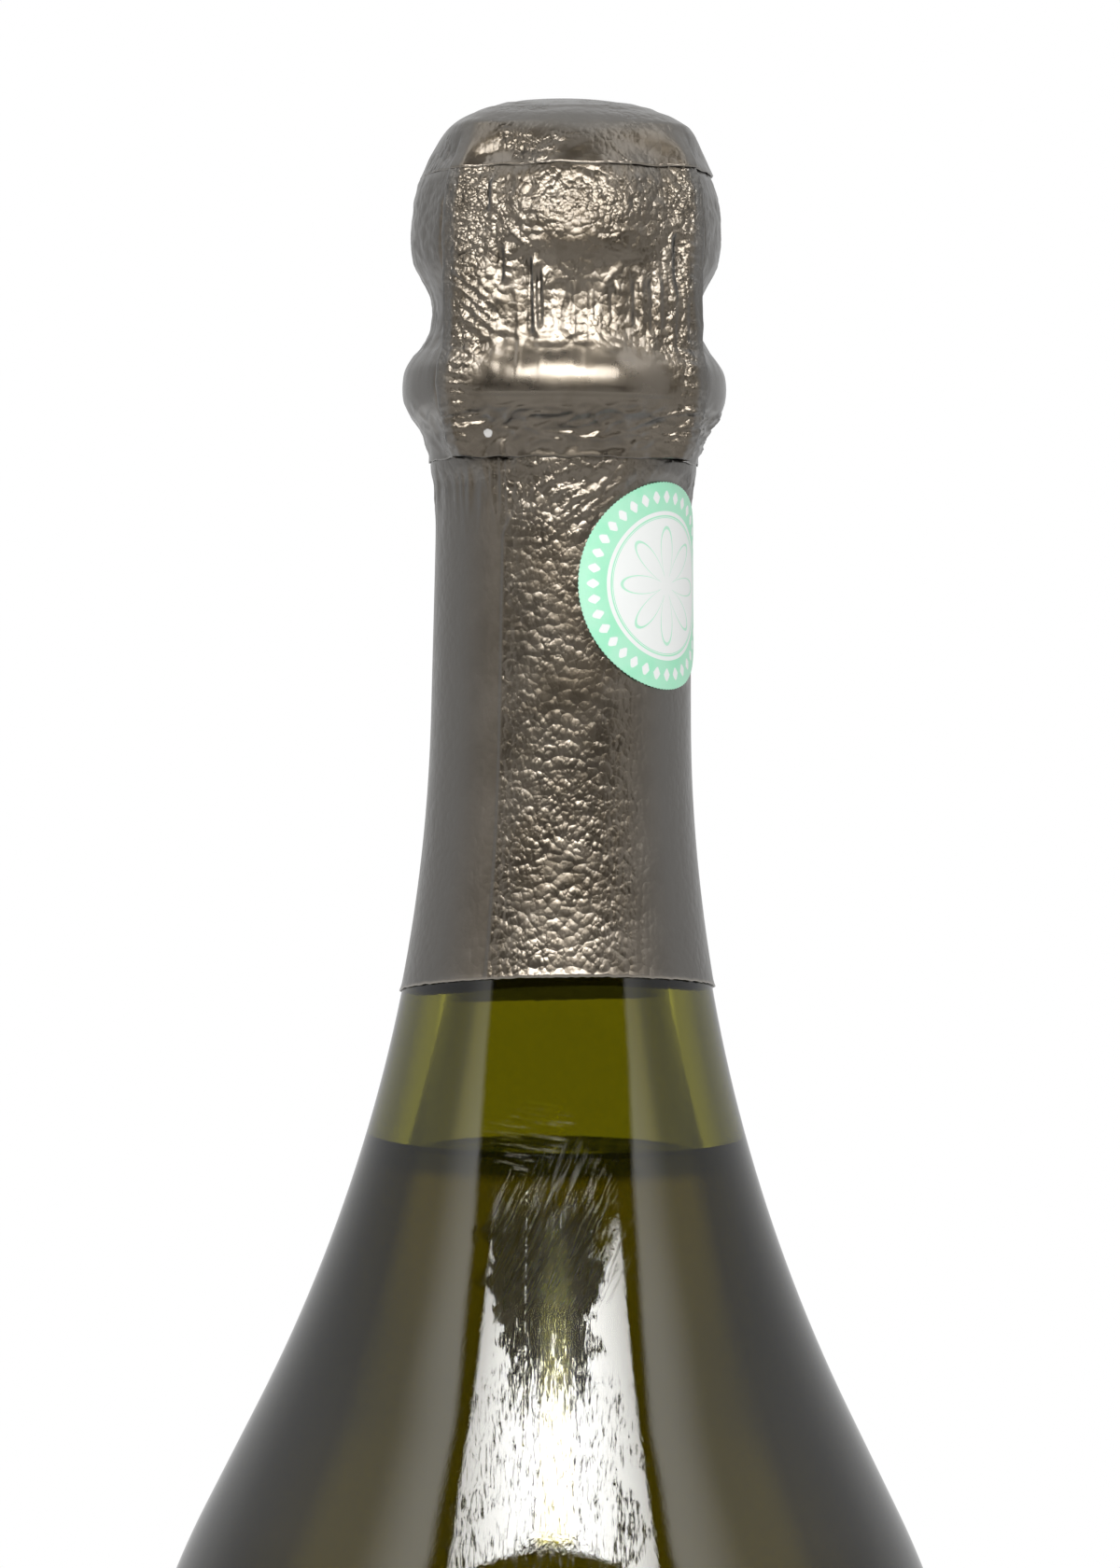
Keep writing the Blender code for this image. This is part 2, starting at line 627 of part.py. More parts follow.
def drape_outline(extra):
    """Where foil lies between the legs: over the head, in at the waist, over the ring to the neck."""
    radius = DRAPE_RADIUS + extra
    rise = DRAPE_TOP + extra - HEAD_EQUATOR
    outline = []
    for turn in spread(0.0, math.pi / 2, 10):
        reach = radius * math.sin(turn) ** (2 / DRAPE_POWER)
        outline.append((reach, HEAD_EQUATOR + rise * math.cos(turn) ** (2 / DRAPE_POWER)))
    outline[-1] = (radius, HEAD_EQUATOR)
    waist_share = math.sqrt(1 - (WAIST_RADIUS / DRAPE_RADIUS) ** 2)
    for share in spread(0.0, waist_share, 4)[1:]:
        reach = radius * math.sqrt(1 - share**2)
        outline.append((reach, HEAD_EQUATOR - DRAPE_LOW_REACH * share))
    swing = math.degrees(math.asin(RING_HALF_HEIGHT / RING_CURVE))
    ring_centre = (RING_RADIUS - RING_CURVE, -RING_DROP)
    outline += arc(ring_centre, RING_CURVE + SLEEVE_SIDE + extra, swing - DRAPE_TUCK_DEG, -swing, 6)
    outline.append((BELT_RADIUS + BELT_WIRE / 2 + SLEEVE_SIDE + extra, -BELT_DROP))
    outline.append((HOOD_EDGE_RADIUS + extra, -HOOD_EDGE_DROP))
    return outline


def ridge_outline(extra):
    """The outside of the foil where it crosses a leg."""
    middle = [tuple(point) for point in smoothed(leg_outline(), LEG_STEPS)]
    legs = offset(middle, -(PAIR_RADIUS + SLEEVE_SIDE + extra))
    outline = [point for point in legs if point[1] > -BELT_DROP / 2 - RING_DROP / 2]
    eyelet_reach = BELT_LEG_RADIUS + EYELET_RADIUS + STRAND / 2 + SLEEVE_SIDE + extra
    outline.append((eyelet_reach, -BELT_DROP))
    outline.append((eyelet_reach - SLEEVE_SIDE, -HOOD_EDGE_DROP))
    return outline


def draped_radius(base, ridge, away):
    """The radius of foil pulled straight from a ridge down to a round base, at an angle from the ridge."""
    if ridge <= base:
        return base
    lean = math.acos(base / ridge)
    return base / math.cos(max(lean - away, 0.0))


def foil_radius(height, azimuth, base_line, ridge_line, extra):
    """The outside of the foil over the closure, with its four ridges and the bulge over the loop."""
    base = radius_at(base_line, height)
    ridge = radius_at(ridge_line, height)
    away = min(abs(math.remainder(azimuth - leg, math.tau)) for leg in LEG_AZIMUTHS)
    reach = draped_radius(base, ridge, away)
    bulge = LOOP_PLANE + PAIR_RADIUS + SLEEVE_SIDE + extra
    fade = min(max((height - LOOP_BULGE_TOP) / LOOP_BULGE_FADE, 0.0), 1.0)
    bulge += (base - bulge) * fade
    behind = abs(math.remainder(azimuth - math.pi, math.tau))
    past = max(behind - math.radians(LOOP_BULGE_DEG), 0.0)
    return max(reach, draped_radius(base, bulge, past))


def foil_rows(heights, extra):
    """Rows of points round the closure's foil, one row to a height."""
    base_line = drape_outline(extra)
    ridge_line = ridge_outline(extra)
    rows = []
    for height in heights:
        turns = [LEG_AZIMUTHS[0] + math.tau * i / FOIL_SEGMENTS for i in range(FOIL_SEGMENTS)]
        rows.append(
            [around(foil_radius(height, t, base_line, ridge_line, extra), t, height) for t in turns]
        )
    return rows


def make_hood(hood, finish):
    """The foil skirt over head, wires and ring, and the crown disc over its top edge."""
    head_rise = HOOD_MOUTH_HEIGHT - HEAD_EQUATOR
    heights = [HEAD_EQUATOR + head_rise * math.cos(turn) for turn in spread(0.0, math.pi / 2, 5)]
    heights += spread(HEAD_EQUATOR, -RING_DROP + RING_CURVE, 4)[1:]
    heights += spread(-RING_DROP + RING_CURVE, -HOOD_EDGE_DROP, 7)[1:]
    sheet("foil_hood", foil_rows(heights, 0.0), FOIL_WALL, hood, finish, wrap=True)
    extra = SLEEVE_SIDE
    top = DRAPE_TOP + extra
    falls = [math.sin(turn) ** 2 for turn in spread(0.0, math.pi / 2, 6)[1:]]
    crown_heights = [top - (top - CROWN_EDGE_HEIGHT) * fall for fall in falls]
    rows = foil_rows(crown_heights, extra)
    sheet("foil_crown", rows, FOIL_WALL, hood, finish, wrap=True, centre=(0, 0, top))


def sleeve_side(height, extra):
    """The outside of the neck sleeve, or of what lies on it, at a height above the table."""
    return radius_at(glass_outline(), height) + SLEEVE_SIDE + extra


def make_sleeve(bottle, finish):
    """The foil on the neck below the tear line. Its lower edge arches up at the front."""
    top = GLASS_HEIGHT - HOOD_EDGE_DROP - GAP
    rows = []
    for share in spread(0.0, 1.0, 8):
        row = []
        for i in range(BODY_SEGMENTS):
            turn = math.tau * i / BODY_SEGMENTS
            edge = top - SLEEVE_LENGTH - SLEEVE_EDGE_DIP * (1 - math.cos(turn))
            edge += SLEEVE_EDGE_TILT * math.sin(turn)
            height = top + (edge - top) * share
            row.append(around(sleeve_side(height, 0.0), turn, height))
        rows.append(row)
    sheet("foil_neck_sleeve", rows, FOIL_WALL, bottle, finish, wrap=True)


def make_seal(bottle, finish):
    """The round sticker with a finely toothed edge, wrapped on the sleeve."""
    middle_height = GLASS_HEIGHT - SEAL_DROP
    middle = math.radians(SEAL_AZIMUTH_DEG)
    side = sleeve_side(middle_height, GAP + PAPER_WALL)
    rows = []
    for share in (1 / 2, 1.0):
        row = []
        for i in range(2 * SEAL_TEETH):
            turn = math.tau * i / (2 * SEAL_TEETH)
            tooth = SEAL_TOOTH if i % 2 and share == 1.0 else 0.0
            reach = SEAL_RADIUS * share - tooth
            height = middle_height + reach * math.cos(turn)
            azimuth = middle - reach * math.sin(turn) / side
            row.append(around(sleeve_side(height, GAP + PAPER_WALL), azimuth, height))
        rows.append(row)
    centre = around(side, middle, middle_height)
    sheet("seal_sticker", rows, PAPER_WALL, bottle, finish, wrap=True, centre=centre)


def make_label(name, azimuth, width, height, bottle, finish):
    """A paper label with round corners, wrapped on the body."""
    side = BODY_RADIUS + GAP + PAPER_WALL
    corner_steps = [LABEL_CORNER * (1 - math.cos(turn)) for turn in spread(0.0, math.pi / 2, 4)]
    left = [-width / 2 + step for step in corner_steps]
    inner = spread(left[-1], -left[-1], 12)[1:-1]
    columns = left + inner + [-place for place in reversed(left)]
    rows = []
    for share in spread(1.0, -1.0, 6):
        row = []
        for place in columns:
            past = max(abs(place) - (width / 2 - LABEL_CORNER), 0.0)
            cut = LABEL_CORNER - math.sqrt(max(LABEL_CORNER**2 - past**2, 0.0))
            up = LABEL_MIDDLE + (height / 2 - cut) * share
            reach = radius_at(glass_outline(), up) + GAP + PAPER_WALL
            row.append(around(reach, azimuth + place / side, up))
        rows.append(row)
    sheet(name, rows, PAPER_WALL, bottle, finish, wrap=False)


def main():
    """Builds the bottle on its table and the closure on its rim."""
    clear_scene()
    glass = material("green_glass", (0.10, 0.12, 0.02), 0.05, transmission=0.8)
    wine = material("wine", (0.75, 0.62, 0.22), 0.05, transmission=0.9)
    agglomerate = material("agglomerated_cork", (0.62, 0.44, 0.26), 0.85)
    natural = material("natural_cork", (0.72, 0.52, 0.32), 0.80)
    tinplate = material("tinplate", (0.55, 0.50, 0.42), 0.35, metallic=1.0)
    wire = material("steel_wire", (0.60, 0.60, 0.60), 0.30, metallic=1.0)
    foil = material("bronze_foil", (0.13, 0.11, 0.08), 0.32, metallic=1.0)
    seal_paper = material("seal_paper", (0.45, 0.80, 0.62), 0.45)
    label_paper = material("label_paper", (0.16, 0.15, 0.11), 0.60)

    bottle = empty("bottle_base", 0.0)
    cork = empty("cork_axis", GLASS_HEIGHT, bottle)
    muselet = empty("muselet_axis", GLASS_HEIGHT, cork)
    loop = empty("loop_hinge", GLASS_HEIGHT - BELT_DROP, muselet, behind=LOOP_PLANE)
    hood = empty("hood_axis", GLASS_HEIGHT, muselet)

    make_glass(bottle, glass)
    make_wine(bottle, wine)
    make_cork(cork, agglomerate, natural)
    make_plaque(muselet, tinplate)
    make_cage(muselet, wire)
    make_belt(muselet, wire)
    make_loop(loop, wire)
    make_hood(hood, foil)
    make_sleeve(bottle, foil)
    make_seal(bottle, seal_paper)
    make_label("front_label", 0.0, FRONT_LABEL_WIDTH, FRONT_LABEL_HEIGHT, bottle, label_paper)
    make_label("back_label", math.pi, BACK_LABEL_WIDTH, BACK_LABEL_HEIGHT, bottle, label_paper)
    bpy.context.view_layer.update()


main()
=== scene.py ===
"""Looks for a champagne bottle: green glass, wine, a wired cork under bronze foil, a seal and labels.

Metres and degrees, +Z up, the base on the table. Azimuth 0 is the front, towards -Y, and 90 is +X.
Heights are counted from the table, or from the glass rim where a class says so.
"""

import logging
import math
from collections.abc import Sequence
from dataclasses import dataclass
from enum import Enum

import bpy
import numpy as np
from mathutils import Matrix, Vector, noise


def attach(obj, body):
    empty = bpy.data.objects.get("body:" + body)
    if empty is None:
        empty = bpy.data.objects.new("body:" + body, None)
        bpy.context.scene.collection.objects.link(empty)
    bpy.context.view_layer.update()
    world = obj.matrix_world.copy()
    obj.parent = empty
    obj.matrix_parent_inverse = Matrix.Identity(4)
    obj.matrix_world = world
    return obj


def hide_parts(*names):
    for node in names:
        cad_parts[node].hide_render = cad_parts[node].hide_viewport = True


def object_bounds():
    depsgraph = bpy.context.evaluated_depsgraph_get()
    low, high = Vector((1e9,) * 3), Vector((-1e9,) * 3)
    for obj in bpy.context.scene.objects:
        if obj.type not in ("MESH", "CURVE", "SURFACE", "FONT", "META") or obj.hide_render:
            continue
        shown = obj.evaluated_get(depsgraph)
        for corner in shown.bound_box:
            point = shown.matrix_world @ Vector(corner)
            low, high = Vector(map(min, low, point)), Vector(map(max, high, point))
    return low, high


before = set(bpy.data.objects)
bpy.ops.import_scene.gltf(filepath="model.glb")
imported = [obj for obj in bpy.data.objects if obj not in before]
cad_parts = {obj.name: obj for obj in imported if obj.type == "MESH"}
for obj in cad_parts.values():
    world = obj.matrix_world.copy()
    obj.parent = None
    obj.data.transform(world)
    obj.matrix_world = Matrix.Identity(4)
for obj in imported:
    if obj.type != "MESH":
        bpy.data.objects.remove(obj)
CAD_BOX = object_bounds()

Pair = tuple[float, float]
Line = list[Pair]
Outline = tuple[Pair, ...]
Run = list[tuple[float, float, float]]
Colour = tuple[float, float, float]
Array = np.ndarray
Piece = bpy.types.Object
Material = bpy.types.Material
Socket = bpy.types.NodeSocket
Value = Socket | float
log = logging.getLogger("bottle")

MM = 0.001
RIM = 0.2950
WINE_LEVEL = RIM - 0.0900
SEAL_HEIGHT = RIM - 0.0310
SEAL_AZIMUTH = 52.0
LEG_DEGREES = (49.0, 139.0, 229.0, 319.0)
# The way round in which the foil is stretched on from each leg. On the other side it is tucked in.
LEG_SIDES = (-1, 1, -1, 1)
# What the whole width of a label's UV map measures.
LABEL_SPAN = 0.1


class Body(str, Enum):
    """The CAD bodies that the pieces ride on."""

    BOTTLE = "bottle"
    CORK = "cork"
    MUSELET = "muselet"
    LOOP = "loop"
    HOOD = "hood"


# Outlines


def spread(first: float, last: float, steps: int) -> list[float]:
    """Evenly spaced values from first to last, both included."""
    return [first + (last - first) * i / steps for i in range(steps + 1)]


def arc(centre: Pair, radius: float, start: float, end: float, steps: int) -> Line:
    """Points of an arc round a centre, its angles in degrees, 0 pointing outwards and 90 up."""
    turns = [math.radians(turn) for turn in spread(start, end, steps)]
    return [(centre[0] + radius * math.cos(t), centre[1] + radius * math.sin(t)) for t in turns]


def aside(outline: Line, distance: float) -> Line:
    """Moves an outline sideways.

    Args:
        outline: The points, as radius and height.
        distance: How far they move, to the right of the way that the outline runs.

    Returns:
        The moved points. A point on the axis stays on it.
    """
    moved = []
    for index, (radius, height) in enumerate(outline):
        before = Vector(outline[max(index - 1, 0)])
        after = Vector(outline[min(index + 1, len(outline) - 1)])
        along = (after - before).normalized()
        reach = radius + along.y * distance if radius else 0.0
        moved.append((max(reach, 0.0), height - along.x * distance))
    return moved


def metres(outline_mm: Outline, base: float = 0.0) -> Line:
    """An outline given in millimetres, in metres and above a base."""
    return [(radius * MM, base + height * MM) for radius, height in outline_mm]


def reach_at(outline: Line, heights: Array) -> Array:
    """The radius of a falling outline at each height."""
    fall = sorted(outline, key=lambda point: point[1])
    return np.interp(heights, [p[1] for p in fall], [p[0] for p in fall])


def radius_at(outline: Line, height: float) -> float:
    """The radius of a falling outline at one height."""
    return float(reach_at(outline, np.array([height]))[0])


def resampled(outline: Line, step: float) -> Line:
    """Points of an outline, evenly spaced along its length.

    Args:
        outline: The points, as radius and height.
        step: The distance wanted between two points.

    Returns:
        The new points, the two ends included.
    """
    line = np.array(outline)
    lengths = np.concatenate([[0.0], np.cumsum(np.hypot(*np.diff(line, axis=0).T))])
    wanted = np.linspace(0.0, lengths[-1], max(int(round(lengths[-1] / step)), 2) + 1)
    radii = np.interp(wanted, lengths, line[:, 0])
    return list(zip(radii.tolist(), np.interp(wanted, lengths, line[:, 1]).tolist()))


def rounded(outline: Line | Outline, rounds: int = 2) -> Line:
    """Cuts an outline's corners, so that it runs smoothly between its ends.

    Args:
        outline: The points, as radius and height.
        rounds: How often each corner is cut.

    Returns:
        The new points.
    """
    for _ in range(rounds):
        cut = [outline[0]]
        for (r0, h0), (r1, h1) in zip(outline, outline[1:]):
            cut.append((0.75 * r0 + 0.25 * r1, 0.75 * h0 + 0.25 * h1))
            cut.append((0.25 * r0 + 0.75 * r1, 0.25 * h0 + 0.75 * h1))
        outline = [*cut, outline[-1]]
    return outline


# Modelling


def edit_all() -> None:
    """Enters edit mode with everything selected."""
    bpy.ops.object.mode_set(mode="EDIT")
    bpy.ops.mesh.select_all(action="SELECT")


def edit_done() -> None:
    """Leaves edit mode."""
    bpy.ops.object.mode_set(mode="OBJECT")


def clear_selection() -> None:
    """Leaves edit mode and deselects everything."""
    if bpy.context.object and bpy.context.object.mode != "OBJECT":
        edit_done()
    bpy.ops.object.select_all(action="DESELECT")


def take(piece: Piece) -> None:
    """Makes one piece the only selected and the active one."""
    clear_selection()
    piece.select_set(True)
    bpy.context.view_layer.objects.active = piece


def draw_line(name: str, outline: Line) -> Piece:
    """Draws an outline as a chain of edges, extruded point by point from a plane merged to a point.

    Args:
        name: The new piece's name.
        outline: The points, as radius and height.

    Returns:
        The piece, in edit mode.
    """
    clear_selection()
    bpy.ops.mesh.primitive_plane_add(size=0.001, location=(0, 0, 0))
    piece = bpy.context.object
    piece.name = piece.data.name = name
    bpy.ops.object.mode_set(mode="EDIT")
    bpy.ops.mesh.select_mode(type="VERT")
    bpy.ops.mesh.select_all(action="SELECT")
    bpy.ops.mesh.merge(type="CENTER")
    bpy.ops.transform.translate(value=(outline[0][0], 0, outline[0][1]))
    for (r0, h0), (r1, h1) in zip(outline, outline[1:]):
        bpy.ops.mesh.extrude_vertices_move(TRANSFORM_OT_translate={"value": (r1 - r0, 0, h1 - h0)})
    return piece


def lathe(name: str, outline: Line, steps: int, angle: float = 40.0) -> Piece:
    """Turns an outline round the axis.

    Args:
        name: The new piece's name.
        outline: The points, as radius and height.
        steps: How many segments a full turn has.
        angle: The sharpest edge that is still shaded smooth, in degrees.

    Returns:
        The turned piece, in object mode.
    """
    piece = draw_line(name, outline)
    bpy.ops.mesh.select_all(action="SELECT")
    bpy.ops.mesh.spin(steps=steps, angle=math.tau, center=(0, 0, 0), axis=(0, 0, 1))
    bpy.ops.mesh.select_all(action="SELECT")
    bpy.ops.mesh.remove_doubles(threshold=0.000002)
    bpy.ops.mesh.normals_make_consistent(inside=False)
    edit_done()
    bpy.ops.object.shade_smooth_by_angle(angle=math.radians(angle))
    return piece


def points_of(piece: Piece) -> Array:
    """A piece's vertices, one row each."""
    flat = np.empty(len(piece.data.vertices) * 3)
    piece.data.vertices.foreach_get("co", flat)
    return flat.reshape(-1, 3)


def put_points(piece: Piece, points: Array) -> None:
    """Moves a piece's vertices to new places."""
    piece.data.vertices.foreach_set("co", points.ravel())
    piece.data.update()


def to_round(points: Array) -> tuple[Array, Array, Array]:
    """Azimuths in degrees, radii and heights of points."""
    azimuth = np.degrees(np.arctan2(points[:, 0], -points[:, 1]))
    return azimuth, np.hypot(points[:, 0], points[:, 1]), points[:, 2].copy()


def from_round(azimuth: Array, radius: Array, height: Array) -> Array:
    """Points from azimuths in degrees, radii and heights."""
    turn = np.radians(azimuth)
    return np.column_stack([radius * np.sin(turn), -radius * np.cos(turn), height])


def around(radius: float, azimuth: float, height: float) -> tuple[float, float, float]:
    """One point from an azimuth in degrees, a radius and a height."""
    turn = math.radians(azimuth)
    return radius * math.sin(turn), -radius * math.cos(turn), height


def turned_from(azimuth: Array, middle: float) -> Array:
    """The signed angle in degrees from a middle azimuth, between -180 and 180."""
    return (azimuth - middle + 180.0) % 360.0 - 180.0


def step_up(value: Array, low: float, high: float) -> Array:
    """A smooth step from 0 at low to 1 at high, or down where high is the lower."""
    share = np.clip((value - low) / (high - low), 0.0, 1.0)
    return share * share * (3 - 2 * share)


def hump(value: Array, middle: float, width: float) -> Array:
    """A soft bell, 1 at the middle and small past the width."""
    return np.exp(-(((value - middle) / width) ** 2))


def cloud(points: Array, size: Sequence[float], seed: float, octaves: int = 2) -> Array:
    """Seeded soft noise from about -1 to 1, with the size of one lump along each axis."""
    scaled = points / np.array(size) + seed
    return np.array([noise.fractal(Vector(p), 1.0, 2.0, octaves) for p in scaled])


def crumple(points: Array, size: Sequence[float], seed: float) -> Array:
    """Seeded noise with sharp crests, as of crumpled foil, from about 0 to 1."""
    scaled = points / np.array(size) + seed
    return np.array([1.0 - abs(noise.noise(Vector(p))) * 2.0 for p in scaled])


def apply_modifier(piece: Piece, kind: str, **values: object) -> None:
    """Adds a modifier and applies it.

    Args:
        piece: The piece that gets it.
        kind: The modifier's type.
        **values: Its settings.
    """
    take(piece)
    made = piece.modifiers.new(kind.lower(), kind)
    for key, value in values.items():
        setattr(made, key, value)
    bpy.ops.object.modifier_apply(modifier=made.name)


def mark(piece: Piece, name: str, values: Array) -> None:
    """Stores one number per vertex under a name, for a material to read."""
    layer = piece.data.attributes.new(name, "FLOAT", "POINT")
    layer.data.foreach_set("value", values.astype(np.float32))


def unwrap_flat(piece: Piece, size: float) -> None:
    """Keeps the flat shape of a sheet in the XZ plane as its UV map.

    Args:
        piece: The sheet, its middle on the axis.
        size: What the whole width of the map measures.
    """
    piece.data.uv_layers.new(name="flat")
    layer = piece.data.uv_layers["flat"]
    points = points_of(piece)
    loops = np.empty(len(piece.data.loops), dtype=int)
    piece.data.loops.foreach_get("vertex_index", loops)
    flat = points[loops][:, (0, 2)] / size + 0.5
    layer.data.foreach_set("uv", flat.ravel())


def wire(name: str, runs: Sequence[Run], radius: float, closed: bool) -> Piece:
    """Bends round wire along lines of points.

    Args:
        name: The new piece's name.
        runs: One list of points for each wire.
        radius: Half of the wire's thickness.
        closed: Whether each wire meets its own start.

    Returns:
        The wires as one mesh.
    """
    clear_selection()
    bpy.ops.curve.primitive_nurbs_path_add(location=(0, 0, 0))
    piece = bpy.context.object
    piece.name = name
    curve = piece.data
    curve.splines.clear()
    curve.bevel_depth = radius
    curve.bevel_resolution = 3
    curve.use_fill_caps = True
    for run in runs:
        spline = curve.splines.new("POLY")
        spline.points.add(len(run) - 1)
        spline.points.foreach_set("co", [c for p in run for c in (*p, 1.0)])
        spline.use_cyclic_u = closed
    bpy.ops.object.convert(target="MESH")
    piece = bpy.context.object
    piece.data.name = name
    bpy.ops.object.shade_smooth()
    return piece


def joined(first: Piece, *others: Piece) -> Piece:
    """Joins pieces.

    Args:
        first: The piece that takes in the others.
        *others: The others.

    Returns:
        The first piece.
    """
    take(first)
    for other in others:
        other.select_set(True)
    bpy.ops.object.join()
    return first


def dress(piece: Piece, finish: Material) -> None:
    """Gives a piece one material."""
    piece.data.materials.clear()
    piece.data.materials.append(finish)


def seat(piece: Piece, body: Body, slot: str, *nodes: str) -> None:
    """Hands a finished piece to the frame.

    Args:
        piece: The piece, in place.
        body: The CAD body that it rides on.
        slot: A material slot's name. It is not used.
        *nodes: The CAD nodes that it stands for.
    """
    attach(piece, body.value)
    if nodes:
        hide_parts(*nodes)
    log.info("%s: %d faces on %s", piece.name, len(piece.data.polygons), body.value)


# Shader nodes


class Board:
    """Places and links the nodes of one node tree."""

    def __init__(self, tree: bpy.types.NodeTree) -> None:
        """Takes the tree that the nodes go into."""
        self.tree = tree

    def fill(self, node: bpy.types.Node, inputs: dict) -> None:
        """Links or sets a node's inputs.

        Args:
            node: The node.
            inputs: Its inputs by name or number, each a socket to link or a value to set. A colour is
                given without its alpha.
        """
        for key, value in inputs.items():
            if isinstance(value, Socket):
                self.tree.links.new(value, node.inputs[key])
            elif node.inputs[key].type == "RGBA":
                node.inputs[key].default_value = (*value, 1.0)
            else:
                node.inputs[key].default_value = value

    def place(self, kind: str, settings: dict | None = None, inputs: dict | None = None) -> bpy.types.Node:
        """Adds a node.

        Args:
            kind: The node's type, without ShaderNode.
            settings: Its properties by name.
            inputs: What its inputs get, as fill takes it.

        Returns:
            The node.
        """
        node = self.tree.nodes.new("ShaderNode" + kind)
        for key, value in (settings or {}).items():
            setattr(node, key, value)
        self.fill(node, inputs or {})
        return node

    def math(self, operation: str, *values: Value) -> Socket:
        """One sum of sockets or numbers."""
        return self.place("Math", {"operation": operation}, dict(enumerate(values))).outputs[0]

    def plus(self, first: Value, second: Value) -> Socket:
        """Two values added."""
        return self.math("ADD", first, second)

    def minus(self, first: Value, second: Value) -> Socket:
        """The second value taken from the first."""
        return self.math("SUBTRACT", first, second)

    def times(self, first: Value, *others: Value) -> Value:
        """Values multiplied, from left to right."""
        for other in others:
            first = self.math("MULTIPLY", first, other)
        return first

    def larger(self, first: Value, *others: Value) -> Value:
        """The largest of some values."""
        for other in others:
            first = self.math("MAXIMUM", first, other)
        return first

    def apart(self, first: Value, second: Value) -> Socket:
        """How far two values lie apart."""
        return self.math("ABSOLUTE", self.minus(first, second))

    def length(self, x: Value, y: Value) -> Socket:
        """How far a point of a plane lies from its middle."""
        return self.math("SQRT", self.plus(self.times(x, x), self.times(y, y)))

    def ramp(self, value: Value, low: float, high: float, start: float = 0.0, end: float = 1.0) -> Socket:
        """A smooth step of a value, which gives start where the value is low and end where it is high."""
        inputs = {0: value, 1: low, 2: high, 3: start, 4: end}
        return self.place("MapRange", {"interpolation_type": "SMOOTHSTEP"}, inputs).outputs[0]

    def mix(self, share: Value, first: Socket | Colour, second: Socket | Colour) -> Socket:
        """Two colours mixed by a share."""
        return self.place("Mix", {"data_type": "RGBA"}, {0: share, 6: first, 7: second}).outputs[2]

    def stretch(self, vector: Socket, scale: Sequence[float], turn: Sequence[float] = (0, 0, 0)) -> Socket:
        """A vector turned and scaled by a Mapping node."""
        return self.place("Mapping", None, {0: vector, 2: tuple(turn), 3: tuple(scale)}).outputs[0]

    def sheet_place(self, span: float) -> Sequence[Socket]:
        """Where a point lies on a flat sheet, from its middle, where its UV map is one span wide."""
        flat = self.place("UVMap", {"uv_map": "flat"}).outputs[0]
        inputs = {0: flat, 1: (-span / 2, -span / 2, 0), 3: (span, span, 1)}
        return self.axes(self.place("Mapping", None, inputs).outputs[0])

    def grain(self, vector: Socket, scale: float, detail: float = 2.0, rough: float = 0.5) -> Socket:
        """Noise from 0 to 1."""
        inputs = {"Vector": vector, "Scale": scale, "Detail": detail, "Roughness": rough}
        return self.place("TexNoise", None, inputs).outputs[0]

    def cells(self, vector: Socket, scale: Value, feature: str = "F1", output: int = 0) -> Socket:
        """A Voronoi pattern's distance, or its colour with output 1."""
        made = self.place("TexVoronoi", {"feature": feature}, {"Vector": vector, "Scale": scale})
        return made.outputs[output]

    def bump(self, height: Value, depth: float, share: Value = 1.0, normal: Socket | None = None) -> Socket:
        """Bends the normal.

        Args:
            height: The height, as a value.
            depth: How many metres a height of 1 stands for.
            share: How much of the bend is used.
            normal: A normal that was bent before.

        Returns:
            The bent normal.
        """
        inputs = {"Height": height, "Distance": depth, "Strength": share}
        if normal is not None:
            inputs["Normal"] = normal
        return self.place("Bump", None, inputs).outputs[0]

    def axes(self, vector: Socket) -> Sequence[Socket]:
        """A vector's three values."""
        return self.place("SeparateXYZ", None, {0: vector}).outputs

    def facing(self) -> Socket:
        """How far a face turns away from the view, 0 where it faces it and 1 at the outline."""
        return self.place("LayerWeight", None, {"Blend": 0.5}).outputs["Facing"]

    def object_place(self) -> Socket:
        """Where a point lies on the piece, in metres."""
        return self.place("TexCoord").outputs["Object"]

    def marked(self, name: str) -> Socket:
        """A number stored on the piece under a name."""
        return self.place("Attribute", {"attribute_name": name}).outputs["Fac"]

    def group(self, tree: bpy.types.NodeTree, inputs: dict) -> bpy.types.Node:
        """Places a node group with its own values."""
        return self.place("Group", {"node_tree": tree}, inputs)


class Effect(Board):
    """The board of a new node group with named inputs and outputs."""

    def __init__(self, name: str, inputs: dict[str, float | None], outputs: Sequence[str]) -> None:
        """Starts the group.

        Args:
            name: The group's name.
            inputs: Its inputs with their defaults, None for a vector.
            outputs: The names of its values.
        """
        super().__init__(bpy.data.node_groups.new(name, "ShaderNodeTree"))
        for key, default in inputs.items():
            kind = "NodeSocketVector" if default is None else "NodeSocketFloat"
            made = self.tree.interface.new_socket(key, in_out="INPUT", socket_type=kind)
            if default is not None:
                made.default_value = default
        for key in outputs:
            self.tree.interface.new_socket(key, in_out="OUTPUT", socket_type="NodeSocketFloat")
        self.given = self.tree.nodes.new("NodeGroupInput").outputs
        self.end = self.tree.nodes.new("NodeGroupOutput")

    def put_out(self, key: str, socket: Socket) -> None:
        """Links one output of the group."""
        self.tree.links.new(socket, self.end.inputs[key])


